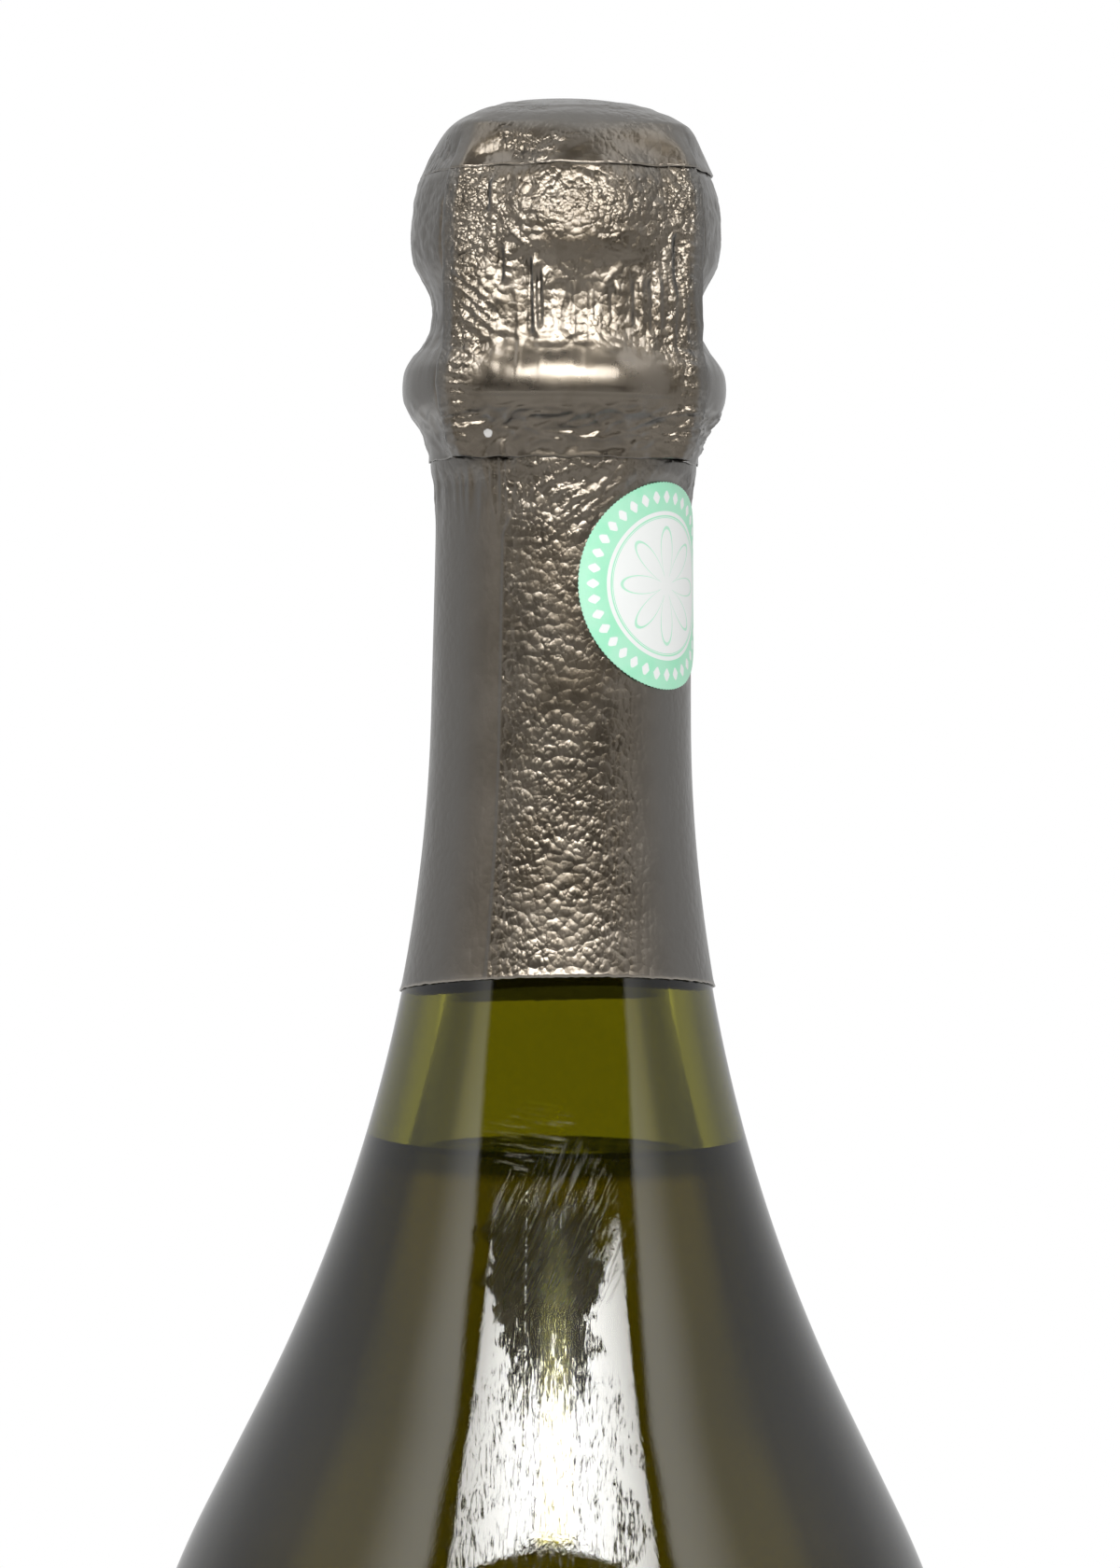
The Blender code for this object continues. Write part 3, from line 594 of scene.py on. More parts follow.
class Effects:
    """The effects that several materials share, each built once."""

    def __init__(self) -> None:
        """Builds every shared group."""
        self.pebbles = self.make_pebbles()
        self.scuffs = self.make_scuffs()
        self.fibres = self.make_fibres()
        self.granules = self.make_granules()

    @staticmethod
    def make_pebbles() -> bpy.types.NodeTree:
        """Makes small rounded dents pressed together, as in thin foil over a hard core.

        Returns:
            The group, with a height.
        """
        board = Effect("pressed_pebbles", {"Place": None, "Size": 0.0008}, ["Height"])
        place = board.given["Place"]
        wander, roundness, grit = 0.0004, 2.4, 0.30
        scale = board.math("DIVIDE", 1.0, board.given["Size"])
        wobble = board.place("TexNoise", None, {"Vector": place, "Scale": 900.0}).outputs[1]
        moved = board.place("Mix", {"data_type": "VECTOR"}, {0: wander, 4: place, 5: wobble}).outputs[1]
        near = board.cells(moved, scale)
        dome = board.minus(1.0, board.times(near, near, roundness))
        fine = board.grain(place, 4200.0, 3.0)
        board.put_out("Height", board.plus(dome, board.times(fine, grit)))
        return board.tree

    @staticmethod
    def make_scuffs() -> bpy.types.NodeTree:
        """Makes fine scratches in two directions, in patches.

        Returns:
            The group, with a mask.
        """
        board = Effect("fine_scuffs", {"Place": None, "Amount": 0.5}, ["Mask"])
        place = board.given["Place"]
        lines = []
        for turn, scale in (((0.5, 0.3, 0.2), (90, 2600, 2600)), ((-0.4, 0.6, 1.2), (2200, 70, 2400))):
            strokes = board.grain(board.stretch(place, scale, turn), 1.0, 1.0)
            lines.append(board.ramp(strokes, 0.66, 0.76))
        patch = board.ramp(board.grain(place, 110.0, 2.0), 0.48, 0.64)
        board.put_out("Mask", board.times(board.larger(*lines), patch, board.given["Amount"]))
        return board.tree

    @staticmethod
    def make_fibres() -> bpy.types.NodeTree:
        """Makes the short fibres of uncoated paper.

        Returns:
            The group, with a height and a mask of its cloudy tone.
        """
        board = Effect("paper_fibres", {"Place": None}, ["Height", "Mask"])
        place = board.given["Place"]
        long = board.grain(board.stretch(place, (5000, 1400, 1400), (0.3, 0.2, 0.5)), 1.0, 2.0)
        cross = board.grain(board.stretch(place, (1400, 1400, 5000), (0.1, 0.7, 0.2)), 1.0, 2.0)
        board.put_out("Height", board.plus(long, cross))
        board.put_out("Mask", board.ramp(board.grain(place, 260.0, 4.0), 0.35, 0.7))
        return board.tree

    @staticmethod
    def make_granules() -> bpy.types.NodeTree:
        """Makes cork: granules of many tones with dark seams, and pores.

        Returns:
            The group, with a tone and masks of the seams and the pores.
        """
        board = Effect("cork_granules", {"Place": None, "Size": 0.0016}, ["Tone", "Seam", "Pore"])
        place = board.given["Place"]
        scale = board.math("DIVIDE", 1.0, board.given["Size"])
        colours = board.cells(place, scale, output=1)
        board.put_out("Tone", board.place("SeparateColor", None, {0: colours}).outputs[1])
        board.put_out("Seam", board.ramp(board.cells(place, scale, "DISTANCE_TO_EDGE"), 0.09, 0.0))
        pores = board.grain(board.stretch(place, (900, 900, 380)), 1.0, 3.0, 0.6)
        board.put_out("Pore", board.ramp(pores, 0.60, 0.70))
        return board.tree


# Finishes


class Finish:
    """What every finish shares: the start of its material."""

    @staticmethod
    def start(name: str) -> tuple[Material, Board, bpy.types.Node]:
        """Makes an empty material under a name, with its board and its Principled shader."""
        made = bpy.data.materials.new(name)
        made.use_nodes = True
        return made, Board(made.node_tree), made.node_tree.nodes["Principled BSDF"]


@dataclass(frozen=True)
class Spot:
    """A soft oval on the front of the glass, with how strong it is or how its strokes lean."""

    centre: Pair
    size: Pair
    strength: float = 1.0
    lean: float = 0.0


@dataclass(frozen=True)
class GlassFinish(Finish):
    """Dark olive bottle glass, faintly wavy, with scuffs, one long scratch and rubbed spots in front; painted
    shade darkens its colour towards the outline and on the rubbed patch.
    """

    colour: Colour = (0.305, 0.286, 0.022)
    # Painted shade: the share of the glass's colour left where it is painted darkest.
    shade: float = 0.04
    # Painted shade on the reflection: the tint that dims the glass's reflection on the rubbed patch.
    dull: Colour = (0.050, 0.050, 0.053)
    polish: float = 0.015
    scuff_rough: float = 0.05
    haze_rough: float = 0.15
    worn_rough: float = 0.16
    wave_depth: float = 0.00005
    fleck_depth: float = 0.0000035
    mark_depth: float = 0.00003
    warp: float = 0.008
    scratch_x: float = -0.0029
    scratch_half: float = 0.00014
    scratch_foot: Pair = (0.1765, 0.1785)
    scratch_top: Pair = (0.2045, 0.2025)
    # Painted shade: how much darker the glass's colour is painted as its face turns from the view towards the
    # outline, as the arguments of ramp.
    near_edge: tuple[float, ...] = (0.265, 0.355, 0.0, 0.86)
    at_edge: tuple[float, ...] = (0.36, 0.55, 0.0, 0.14)
    # Painted shade: how much darker the rubbed patch paints the glass's colour.
    worn_painted_shade: float = 0.62
    worn_left: Pair = (-0.0066, -0.0044)
    worn_far_left: Pair = (-0.0076, -0.0060)
    worn_wide_above: Pair = (0.1885, 0.1905)
    worn_right: Pair = (0.0056, 0.0030)
    worn_foot: Pair = (0.1712, 0.1958)
    worn_top: Pair = (0.2060, 0.1960)
    worn_spread: float = 0.36
    notches: tuple[Spot, ...] = (
        Spot((0.0078, 0.1722), (0.0018, 0.0046), strength=0.44),
        Spot((-0.0084, 0.1690), (0.0018, 0.0050), strength=0.42),
        Spot((-0.0005, 0.1760), (0.0088, 0.0110), strength=0.29),
    )
    rubs: tuple[Spot, ...] = (
        Spot((-0.0032, 0.2080), (0.0038, 0.0026), lean=1.45),
        Spot((0.0008, 0.1990), (0.0072, 0.0080), lean=-0.42),
    )

    def make(self, effects: Effects) -> Material:
        """Builds the material.

        Args:
            effects: The shared groups.

        Returns:
            The material.
        """
        made, board, shader = self.start("olive_bottle_glass")
        place = board.object_place()
        front = board.math("LESS_THAN", board.axes(place)[1], 0.0)
        warp = board.times(board.minus(board.grain(place, 260.0, 3.0), 0.5), self.warp)
        line = board.times(self.scratch(board, place), front)
        haze = board.times(self.haze(board, place, warp), front)
        wear_and_shade = board.times(self.wear_and_shade(board, place, warp), front)
        scuffs = board.group(effects.scuffs, {"Place": place, "Amount": 0.8}).outputs[0]
        wave = board.grain(board.stretch(place, (1, 1, 0.5)), 110.0, 1.0)
        flecks = board.grain(board.stretch(place, (1, 1, 0.30)), 2600.0, 3.0, 0.6)
        bent = board.bump(wave, self.wave_depth)
        bent = board.bump(flecks, self.fleck_depth, 1.0, bent)
        bent = board.bump(board.plus(line, board.times(scuffs, 0.02)), self.mark_depth, 1.0, bent)
        rough = board.plus(self.polish, board.times(scuffs, self.scuff_rough))
        rough = board.plus(rough, board.times(haze, self.haze_rough))
        rough = board.plus(rough, board.times(wear_and_shade, self.worn_rough))
        facing = board.facing()
        # Painted shade: the glass's colour is painted darker as its face turns away towards the outline, and
        # on the rubbed patch.
        painted_shade = board.plus(board.ramp(facing, *self.near_edge), board.ramp(facing, *self.at_edge))
        # Painted shade: the rubbed patch paints the glass's colour darker.
        painted_shade = board.larger(painted_shade, board.times(wear_and_shade, self.worn_painted_shade))
        dark = tuple(self.shade * c for c in self.colour)
        values = {"Base Color": board.mix(painted_shade, self.colour, dark), "Roughness": rough, "Normal": bent}
        values.update({"IOR": 1.52, "Transmission Weight": 1.0})
        # Painted shade on the reflection: the rubbed patch dims the glass's reflection with the dull tint.
        values["Specular Tint"] = board.mix(board.minus(wear_and_shade, line), (1.0, 1.0, 1.0), self.dull)
        board.fill(shader, values)
        return made

    def scratch(self, board: Board, place: Socket) -> Socket:
        """Masks the upright scratch on the shoulder, broken into dashes.

        Args:
            board: The material's board.
            place: Where a point lies, in metres.

        Returns:
            The mask.
        """
        across, _, height = board.axes(place)
        reach = board.times(board.ramp(height, *self.scratch_foot), board.ramp(height, *self.scratch_top))
        dashes = board.ramp(board.grain(board.stretch(place, (1, 1, 900)), 1.0, 1.0), 0.42, 0.55)
        thin = board.ramp(board.apart(across, self.scratch_x), self.scratch_half, 0.0)
        return board.times(thin, board.times(dashes, reach))

    def haze(self, board: Board, place: Socket, warp: Socket) -> Socket:
        """Masks the hazy rubs, each with strokes that lean its own way.

        Args:
            board: The material's board.
            place: Where a point lies, in metres.
            warp: A noise that makes the edges uneven.

        Returns:
            The mask.
        """
        hazes = []
        for rub in self.rubs:
            leaning = board.stretch(place, (1, 1, 1), (0, rub.lean, 0))
            strokes = board.grain(board.stretch(leaning, (3200, 800, 160)), 1.0, 2.0)
            hazes.append(board.times(self.patch(board, place, rub, warp), board.ramp(strokes, 0.40, 0.66)))
        return board.larger(*hazes)

    def wear_and_shade(self, board: Board, place: Socket, warp: Socket) -> Socket:
        """Masks the rubbed patch on the front of the shoulder, dense above and breaking up below: rougher
        worn glass, with painted shade.

        Args:
            board: The material's board.
            place: Where a point lies, in metres.
            warp: A noise that makes the edges uneven.

        Returns:
            The mask.
        """
        across, _, height = board.axes(place)
        side = board.plus(across, warp)
        above = board.ramp(board.plus(height, warp), *self.worn_wide_above)
        left = board.larger(board.ramp(side, *self.worn_left), above)
        share = board.times(left, board.ramp(side, *self.worn_far_left), board.ramp(side, *self.worn_right))
        share = board.times(share, board.ramp(height, *self.worn_foot), board.ramp(height, *self.worn_top))
        for notch in self.notches:
            share = board.larger(share, board.times(self.patch(board, place, notch, warp), notch.strength))
        strands = board.grain(board.stretch(place, (1, 0.13, 0.13)), 4200.0, 5.0, 0.8)
        broken = board.plus(strands, board.times(board.minus(share, 0.5), self.worn_spread))
        return board.times(board.ramp(broken, 0.45, 0.55), board.ramp(share, 0.02, 0.12))

    @staticmethod
    def patch(board: Board, place: Socket, spot: Spot, warp: Socket) -> Socket:
        """Masks a spot on the front.

        Args:
            board: The material's board.
            place: Where a point lies, in metres.
            spot: The spot.
            warp: A noise that makes the edge uneven.

        Returns:
            The mask, soft at its edge.
        """
        across, _, height = board.axes(place)
        shares = []
        for value, middle, size in zip((across, height), spot.centre, spot.size):
            share = board.math("DIVIDE", board.plus(board.minus(value, middle), warp), size)
            shares.append(board.math("POWER", board.math("ABSOLUTE", share), 3.0))
        return board.ramp(board.plus(*shares), 1.5, 0.5)


@dataclass(frozen=True)
class WineFinish(Finish):
    """Pale wine, with a dark ring of painted shade at the edge of its surface."""

    colour: Colour = (0.46, 0.38, 0.22)
    # Painted shade: the near-black colour painted in a ring at the edge of the surface, broken a little by
    # noise.
    edge: Colour = (0.012, 0.014, 0.024)
    painted_shade_band: Pair = (WINE_LEVEL - 0.0026, WINE_LEVEL - 0.0012)

    def make(self) -> Material:
        """Builds the material.

        Returns:
            The material.
        """
        made, board, shader = self.start("pale_wine")
        place = board.object_place()
        # Painted shade: the ring just below the surface, where the wine meets the glass, is painted dark.
        ring = board.ramp(board.axes(place)[2], *self.painted_shade_band)
        beads = board.ramp(board.grain(place, 400.0, 2.0), 0.2, 0.5, 0.85, 1.0)
        tint = board.mix(board.times(ring, beads), self.colour, self.edge)
        values = {"Base Color": tint, "Roughness": 0.0, "IOR": 1.345, "Transmission Weight": 1.0}
        board.fill(shader, values)
        return made


@dataclass(frozen=True)
class FoilFinish(Finish):
    """Lacquered bronze foil: pebbled where it was pressed on, finely creased, with two flakes of dust, and a
    paler sheen painted towards its outline.
    """

    dark: Colour = (0.097, 0.079, 0.057)
    light: Colour = (0.136, 0.115, 0.089)
    # Painted sheen: the paler grey that the colour turns to towards the outline, standing in for reflection.
    painted_sheen: Colour = (0.146, 0.138, 0.126)
    rim: Colour = (0.30, 0.27, 0.23)
    flake: Colour = (0.75, 0.74, 0.72)
    pebble: float = 0.00095
    small_pebble: float = 0.00050
    pebble_depth: float = 0.00012
    crease_depth: float = 0.00002
    painted_sheen_band: Pair = (0.10, 0.42)
    rough: Pair = (0.28, 0.38)
    coat: float = 0.55
    coat_rough: float = 0.16
    # Radius, azimuth, height and own radius of each flake.
    flakes: tuple[tuple[float, ...], ...] = (
        (0.0150, -31.0, RIM - 0.0158, 0.00046),
        (0.0136, 14.5, RIM - 0.0630, 0.00050),
    )

    def make(self, effects: Effects) -> Material:
        """Builds the material.

        Args:
            effects: The shared groups.

        Returns:
            The material, which reads the marks relief and edge of its piece.
        """
        made, board, shader = self.start("bronze_foil")
        place = board.object_place()
        relief = board.marked("relief")
        edge = board.marked("edge")
        bent = self.pressed(board, place, relief, effects)
        dust = board.larger(*(self.chip(board, place, *flake) for flake in self.flakes))
        tone = board.ramp(board.grain(place, 160.0, 4.0, 0.6), 0.35, 0.65)
        colour = board.mix(tone, self.dark, self.light)
        # Painted sheen: the colour is painted paler and greyer towards the outline.
        colour = board.mix(board.ramp(board.facing(), *self.painted_sheen_band), colour, self.painted_sheen)
        colour = board.mix(edge, colour, self.rim)
        colour = board.mix(board.times(dust, 0.8), colour, self.flake)
        rough = board.ramp(board.grain(place, 420.0, 3.0), 0.3, 0.7, *self.rough)
        rough = board.times(rough, board.ramp(relief, 0.02, 0.11, 0.9, 1.0))
        metal = board.minus(1.0, board.larger(dust, board.times(edge, 0.7)))
        values = {"Base Color": colour, "Roughness": rough, "Metallic": metal, "Normal": bent}
        values.update({"Coat Weight": self.coat, "Coat Roughness": self.coat_rough, "Coat Normal": bent})
        values.update({"Coat IOR": 1.5, "Specular Tint": (0.8, 0.8, 0.8)})
        board.fill(shader, values)
        return made

    def pressed(self, board: Board, place: Socket, relief: Socket, effects: Effects) -> Socket:
        """Bends the normal with pebbles of two sizes over fine upright creases.

        Args:
            board: The material's board.
            place: Where a point lies, in metres.
            relief: How strongly the foil is pebbled.
            effects: The shared groups.

        Returns:
            The bent normal.
        """
        flatter = board.stretch(place, (1, 1, 0.7))
        large = board.group(effects.pebbles, {"Place": place, "Size": self.pebble}).outputs[0]
        small = board.group(effects.pebbles, {"Place": flatter, "Size": self.small_pebble}).outputs[0]
        share = board.ramp(board.grain(place, 190.0, 2.0), 0.40, 0.60, 0.25, 0.8)
        creases = board.grain(board.stretch(place, (1500, 1500, 160)), 1.0, 2.0)
        bent = board.bump(creases, self.crease_depth, 0.6)
        return board.bump(board.plus(large, board.times(small, share)), self.pebble_depth, relief, bent)

    @staticmethod
    def chip(board: Board, place: Socket, radius: float, turn: float, height: float, size: float) -> Socket:
        """Masks one flake of dust.

        Args:
            board: The material's board.
            place: Where a point lies, in metres.
            radius: How far the flake lies from the axis.
            turn: Its azimuth in degrees.
            height: Its height above the table.
            size: Its own radius.

        Returns:
            The mask, with a ragged edge.
        """
        centre = around(radius, turn, height)
        far = board.place("VectorMath", {"operation": "DISTANCE"}, {0: place, 1: centre}).outputs["Value"]
        ragged = board.plus(far, board.times(board.grain(place, 2500.0, 2.0), 0.0004))
        return board.ramp(ragged, size + 0.00025, size + 0.00012)


@dataclass(frozen=True)
class SealFinish(Finish):
    """A printed paper seal: a mint ring with plain beads, thin circles and a plain rosette.

    Its measures are shares of the seal's radius.
    """

    mint: Colour = (0.36, 0.83, 0.56)
    paper: Colour = (0.90, 0.92, 0.90)
    band: Pair = (0.715, 0.722)
    circles: tuple[Pair, ...] = ((0.672, 0.006), (0.655, 0.003))
    beads: float = 36.0
    bead_ring: float = 0.855
    petals: float = 4.0
    petal_length: float = 0.46
    heart: float = 0.10

    def make(self, effects: Effects) -> Material:
        """Builds the material.

        Args:
            effects: The shared groups.

        Returns:
            The material, which reads the piece's flat UV map.
        """
        made, board, shader = self.start("mint_seal_paper")
        x, y, _ = board.sheet_place(2.0)
        far = board.length(x, y)
        turn = board.math("ARCTAN2", y, x)
        circles = [self.circle(board, far, radius, half) for radius, half in self.circles]
        wave = board.times(board.math("COSINE", board.times(turn, self.beads)), -0.6)
        bead_far = board.times(board.apart(far, self.bead_ring), 14.0)
        bead = board.ramp(board.plus(bead_far, wave), 0.35, 0.15)
        lobes = board.math("ABSOLUTE", board.math("COSINE", board.times(turn, self.petals)))
        outline = board.plus(board.times(lobes, self.petal_length), self.heart)
        flower = board.ramp(board.apart(far, outline), 0.022, 0.010)
        ink = board.larger(board.times(flower, 0.8), board.larger(*circles))
        ink = board.larger(ink, board.times(board.ramp(far, *self.band), board.minus(1.0, bead)))
        fibres = board.group(effects.fibres, {"Place": board.object_place()})
        ink = board.times(ink, board.ramp(fibres.outputs["Mask"], 0.0, 1.0, 0.86, 1.0))
        values = {"Base Color": board.mix(ink, self.paper, self.mint), "Roughness": 0.42, "Coat Weight": 0.15}
        values["Normal"] = board.bump(fibres.outputs["Height"], 0.00002, 0.5)
        board.fill(shader, values)
        return made

    @staticmethod
    def circle(board: Board, far: Socket, radius: float, half: float) -> Socket:
        """The mask of a thin circle of a radius and half a width."""
        return board.ramp(board.apart(far, radius), half * 1.6, half * 0.7)


@dataclass(frozen=True)
class LabelFinish(Finish):
    """Blank cream paper with laid lines and a thin bronze frame, for a label of a width and a height."""

    width: float
    height: float
    paper: Colour = (0.70, 0.64, 0.52)
    frame_ink: Colour = (0.26, 0.19, 0.09)
    corner: float = 0.003
    # How far each line lies in from the edge, and where its soft sides end and start.
    wide_line: tuple[float, float, float] = (0.0032, 0.00042, 0.00030)
    thin_line: tuple[float, float, float] = (0.0044, 0.00018, 0.00010)
    laid_scale: float = 260.0
    paper_depth: float = 0.00003
    ink_depth: float = 0.00004

    def make(self, effects: Effects, name: str) -> Material:
        """Builds the material.

        Args:
            effects: The shared groups.
            name: The material's name.

        Returns:
            The material, which reads the piece's flat UV map.
        """
        made, board, shader = self.start(name)
        place = board.object_place()
        across, up, _ = board.sheet_place(LABEL_SPAN)
        side = board.minus(self.width / 2, board.math("ABSOLUTE", across))
        end = board.minus(self.height / 2, board.math("ABSOLUTE", up))
        inset = board.math("SMOOTH_MIN", side, end, self.corner)
        lines = []
        for middle, outer, inner in (self.wide_line, self.thin_line):
            lines.append(board.ramp(board.apart(inset, middle), outer, inner))
        ink = board.larger(*lines)
        wave = {"Vector": place, "Scale": self.laid_scale, "Distortion": 0.6}
        laid = board.place("TexWave", {"bands_direction": "Z"}, wave).outputs[1]
        fibres = board.group(effects.fibres, {"Place": place})
        tone = board.mix(fibres.outputs["Mask"], self.paper, tuple(0.88 * c for c in self.paper))
        height = board.plus(board.times(laid, 0.5), fibres.outputs["Height"])
        bent = board.bump(ink, self.ink_depth, 1.0, board.bump(height, self.paper_depth, 0.6))
        values = {"Base Color": board.mix(ink, tone, self.frame_ink), "Normal": bent}
        values.update({"Roughness": board.ramp(ink, 0.0, 1.0, 0.72, 0.34), "Metallic": board.times(ink, 0.8)})
        board.fill(shader, values)
        return made


@dataclass(frozen=True)
class CorkFinish(Finish):
    """Cork, either pressed granules or a natural slice with pores."""

    pale: Colour = (0.60, 0.42, 0.25)
    dark: Colour = (0.34, 0.20, 0.10)
    granule: float = 0.0016
    pores: float = 0.3
    depth: float = 0.00012

    def make(self, effects: Effects, name: str) -> Material:
        """Builds the material.

        Args:
            effects: The shared groups.
            name: The material's name.

        Returns:
            The material.
        """
        made, board, shader = self.start(name)
        cork = board.group(effects.granules, {"Place": board.object_place(), "Size": self.granule})
        tone, seam, pore = cork.outputs
        colour = board.mix(board.ramp(tone, 0.1, 0.9), self.pale, tuple(0.62 * c for c in self.pale))
        holes = board.larger(board.times(seam, 1.0 - self.pores), board.times(pore, self.pores + 0.4))
        colour = board.mix(board.times(holes, 0.8), colour, self.dark)
        height = board.minus(board.times(tone, 0.5), holes)
        values = {"Base Color": colour, "Roughness": 0.82, "Normal": board.bump(height, self.depth, 0.8)}
        board.fill(shader, values)
        return made


@dataclass(frozen=True)
class MetalFinish(Finish):
    """Wire or tinplate: bright metal with fine scuffs, dull patches and a little tarnish."""

    colour: Colour = (0.62, 0.61, 0.59)
    tarnish: Colour = (0.30, 0.25, 0.19)
    rough: float = 0.24
    turned: bool = False
    line_scale: float = 5200.0
    depth: float = 0.000008

    def make(self, effects: Effects, name: str) -> Material:
        """Builds the material.

        Args:
            effects: The shared groups.
            name: The material's name.

        Returns:
            The material.
        """
        made, board, shader = self.start(name)
        place = board.object_place()
        patches = board.ramp(board.grain(place, 520.0, 4.0, 0.6), 0.5, 0.72)
        scuffs = board.group(effects.scuffs, {"Place": place, "Amount": 1.0}).outputs[0]
        if self.turned:
            x, y, _ = board.axes(place)
            rings = board.times(board.length(x, y), self.line_scale)
            grain_place = board.place("CombineXYZ", None, {0: rings, 1: 0.5}).outputs[0]
        else:
            grain_place = board.stretch(place, (300, 300, self.line_scale))
        lines = board.grain(grain_place, 1.0, 2.0)
        values = {
            "Base Color": board.mix(board.times(patches, 0.55), self.colour, self.tarnish),
            "Roughness": board.plus(self.rough, board.times(board.plus(patches, scuffs), 0.18)),
            "Metallic": 1.0,
            "Normal": board.bump(board.minus(lines, scuffs), self.depth),
        }
        board.fill(shader, values)
        return made


# Bottle and wine


@dataclass
class Bottle:
    """The glass from the mouth to the punt, and the wine in it.

    neck_top and neck_foot are a radius and a drop below the rim.
    """

    bore: float = 0.0088
    mouth_round: float = 0.0010
    lip: float = 0.0129
    lip_height: float = 0.0034
    lip_round: float = 0.0011
    undercut: float = 0.0124
    ring: float = 0.0164
    ring_drop: float = 0.0104
    ring_half: float = 0.0042
    ring_curve: float = 0.0051
    neck_top: Pair = (0.0129, 0.0155)
    neck_foot: Pair = (0.0133, 0.0445)
    neck_curve: float = 0.165
    slope: float = 26.5
    straight: float = 0.012
    shoulder_curve: float = 0.085
    taper: float = 0.0008
    wall: float = 0.0049
    heel: float = 0.006
    floor: float = 0.0080
    gully: float = 0.0050
    punt_depth: float = 0.034
    punt_mouth: float = 0.034
    punt_wall: float = 0.0070
    punt_power: float = 1.9
    punt_steps: int = 22
    meniscus: Pair = (0.0024, 0.0009)
    overlap: float = 0.00005
    steps: int = 160
    wine_steps: int = 128

    def outside(self) -> Line:
        """Draws the outside from below the ring to the heel.

        Returns:
            The points, running down.
        """
        (top_r, top_d), (foot_r, foot_d) = self.neck_top, self.neck_foot
        neck_slope = math.atan((foot_r - top_r) / (foot_d - top_d))
        steep = math.radians(self.slope)
        line = [(r, RIM - d) for r, d in zip(spread(top_r, foot_r, 12), spread(top_d, foot_d, 12))]
        for slope in spread(neck_slope, steep, 36)[1:]:
            radius = foot_r + self.neck_curve * (math.cos(neck_slope) - math.cos(slope))
            line.append((radius, RIM - foot_d - self.neck_curve * (math.sin(slope) - math.sin(neck_slope))))
        sweep_r, sweep_h = line[-1]
        top_r, top_h = sweep_r + self.straight * math.sin(steep), sweep_h - self.straight * math.cos(steep)
        for slope in spread(steep, 0.0, 28):
            radius = top_r + self.shoulder_curve * (math.cos(slope) - math.cos(steep))
            line.append((radius, top_h - self.shoulder_curve * (math.sin(steep) - math.sin(slope))))
        wide_r, wide_h = line[-1]
        for share in spread(0.0, 1.0, 10)[1:]:
            line.append((wide_r - self.taper * share**2, wide_h - (wide_h - self.heel) * share))
        return line

    def dome(self, foot: float, low: float, top: float) -> Line:
        """The punt's dome, from its foot's radius and height up to the axis."""
        shares = [math.sin(turn) for turn in spread(math.pi / 2, 0.0, self.punt_steps)]
        return [(foot * share, low + (top - low) * (1 - share**self.punt_power)) for share in shares]

    def inside(self) -> Line:
        """Draws the inside from the top of the punt up to the foot of the bore.

        Returns:
            The points, running up.
        """
        outer = self.outside()
        foot_h = RIM - self.neck_foot[1]
        wide_h = max(outer)[1]
        neck_wall = self.neck_foot[0] - self.bore
        side = []
        for radius, height in reversed(outer):
            if self.floor + self.gully <= height <= foot_h:
                share = min(max((height - wide_h) / (foot_h - wide_h), 0.0), 1.0)
                side.append((radius - self.wall - (neck_wall - self.wall) * share, height))
        low = radius_at(outer, self.floor + self.gully) - self.wall
        centre = (low - self.gully, self.floor + self.gully)
        dome = self.dome(centre[0], self.floor, self.punt_depth + self.punt_wall)
        return dome[::-1] + arc(centre, self.gully, -90, 0, 8)[1:] + side

    def finish_line(self) -> Line:
        """Draws the mouth, the lip and the ring.

        Returns:
            The points, over the rim and down the outside.
        """
        ring_h = RIM - self.ring_drop
        swing = math.degrees(math.asin(self.ring_half / self.ring_curve))
        step = self.lip - self.undercut
        return (
            arc((self.bore + self.mouth_round, RIM - self.mouth_round), self.mouth_round, 180, 90, 6)
            + arc((self.lip - self.lip_round, RIM - self.lip_round), self.lip_round, 90, 0, 6)
            + [(self.lip, RIM - self.lip_height), (self.undercut, RIM - self.lip_height - step)]
            + [(self.undercut, ring_h + self.ring_half + step)]
            + arc((self.ring - self.ring_curve, ring_h), self.ring_curve, swing, -swing, 18)
        )

    def build_glass(self, effects: Effects) -> None:
        """Turns and dresses the glass.

        Args:
            effects: The shared groups.
        """
        outer = self.outside()
        heel = (outer[-1][0] - self.heel, self.heel)
        base = arc(heel, self.heel, 0, -90, 8)[1:] + self.dome(self.punt_mouth, 0.0, self.punt_depth)
        glass = lathe("green_bottle", self.inside() + self.finish_line() + outer + base, self.steps)
        dress(glass, GlassFinish().make(effects))
        seat(glass, Body.BOTTLE, "green_glass", "glass_bottle")

    def build_wine(self) -> None:
        """Turns and dresses the wine, whose surface climbs a little up the glass."""
        close = aside(self.inside(), self.overlap)
        edge = radius_at(close, WINE_LEVEL)
        surface = [(0.0, WINE_LEVEL)]
        for share in spread(0.0, 1.0, 8):
            height = WINE_LEVEL + self.meniscus[1] * share**2
            surface.append((edge - self.meniscus[0] * (1 - share), height))
        surface[-1] = (radius_at(close, surface[-1][1]), surface[-1][1])
        side = [point for point in close if point[1] < WINE_LEVEL]
        wine = lathe("wine_fill", surface + side[::-1], self.wine_steps)
        dress(wine, WineFinish().make())
        seat(wine, Body.BOTTLE, "wine", "wine")

    def build(self, effects: Effects) -> None:
        """Makes both pieces with the shared effects."""
        self.build_glass(effects)
        self.build_wine()


# Cork and muselet


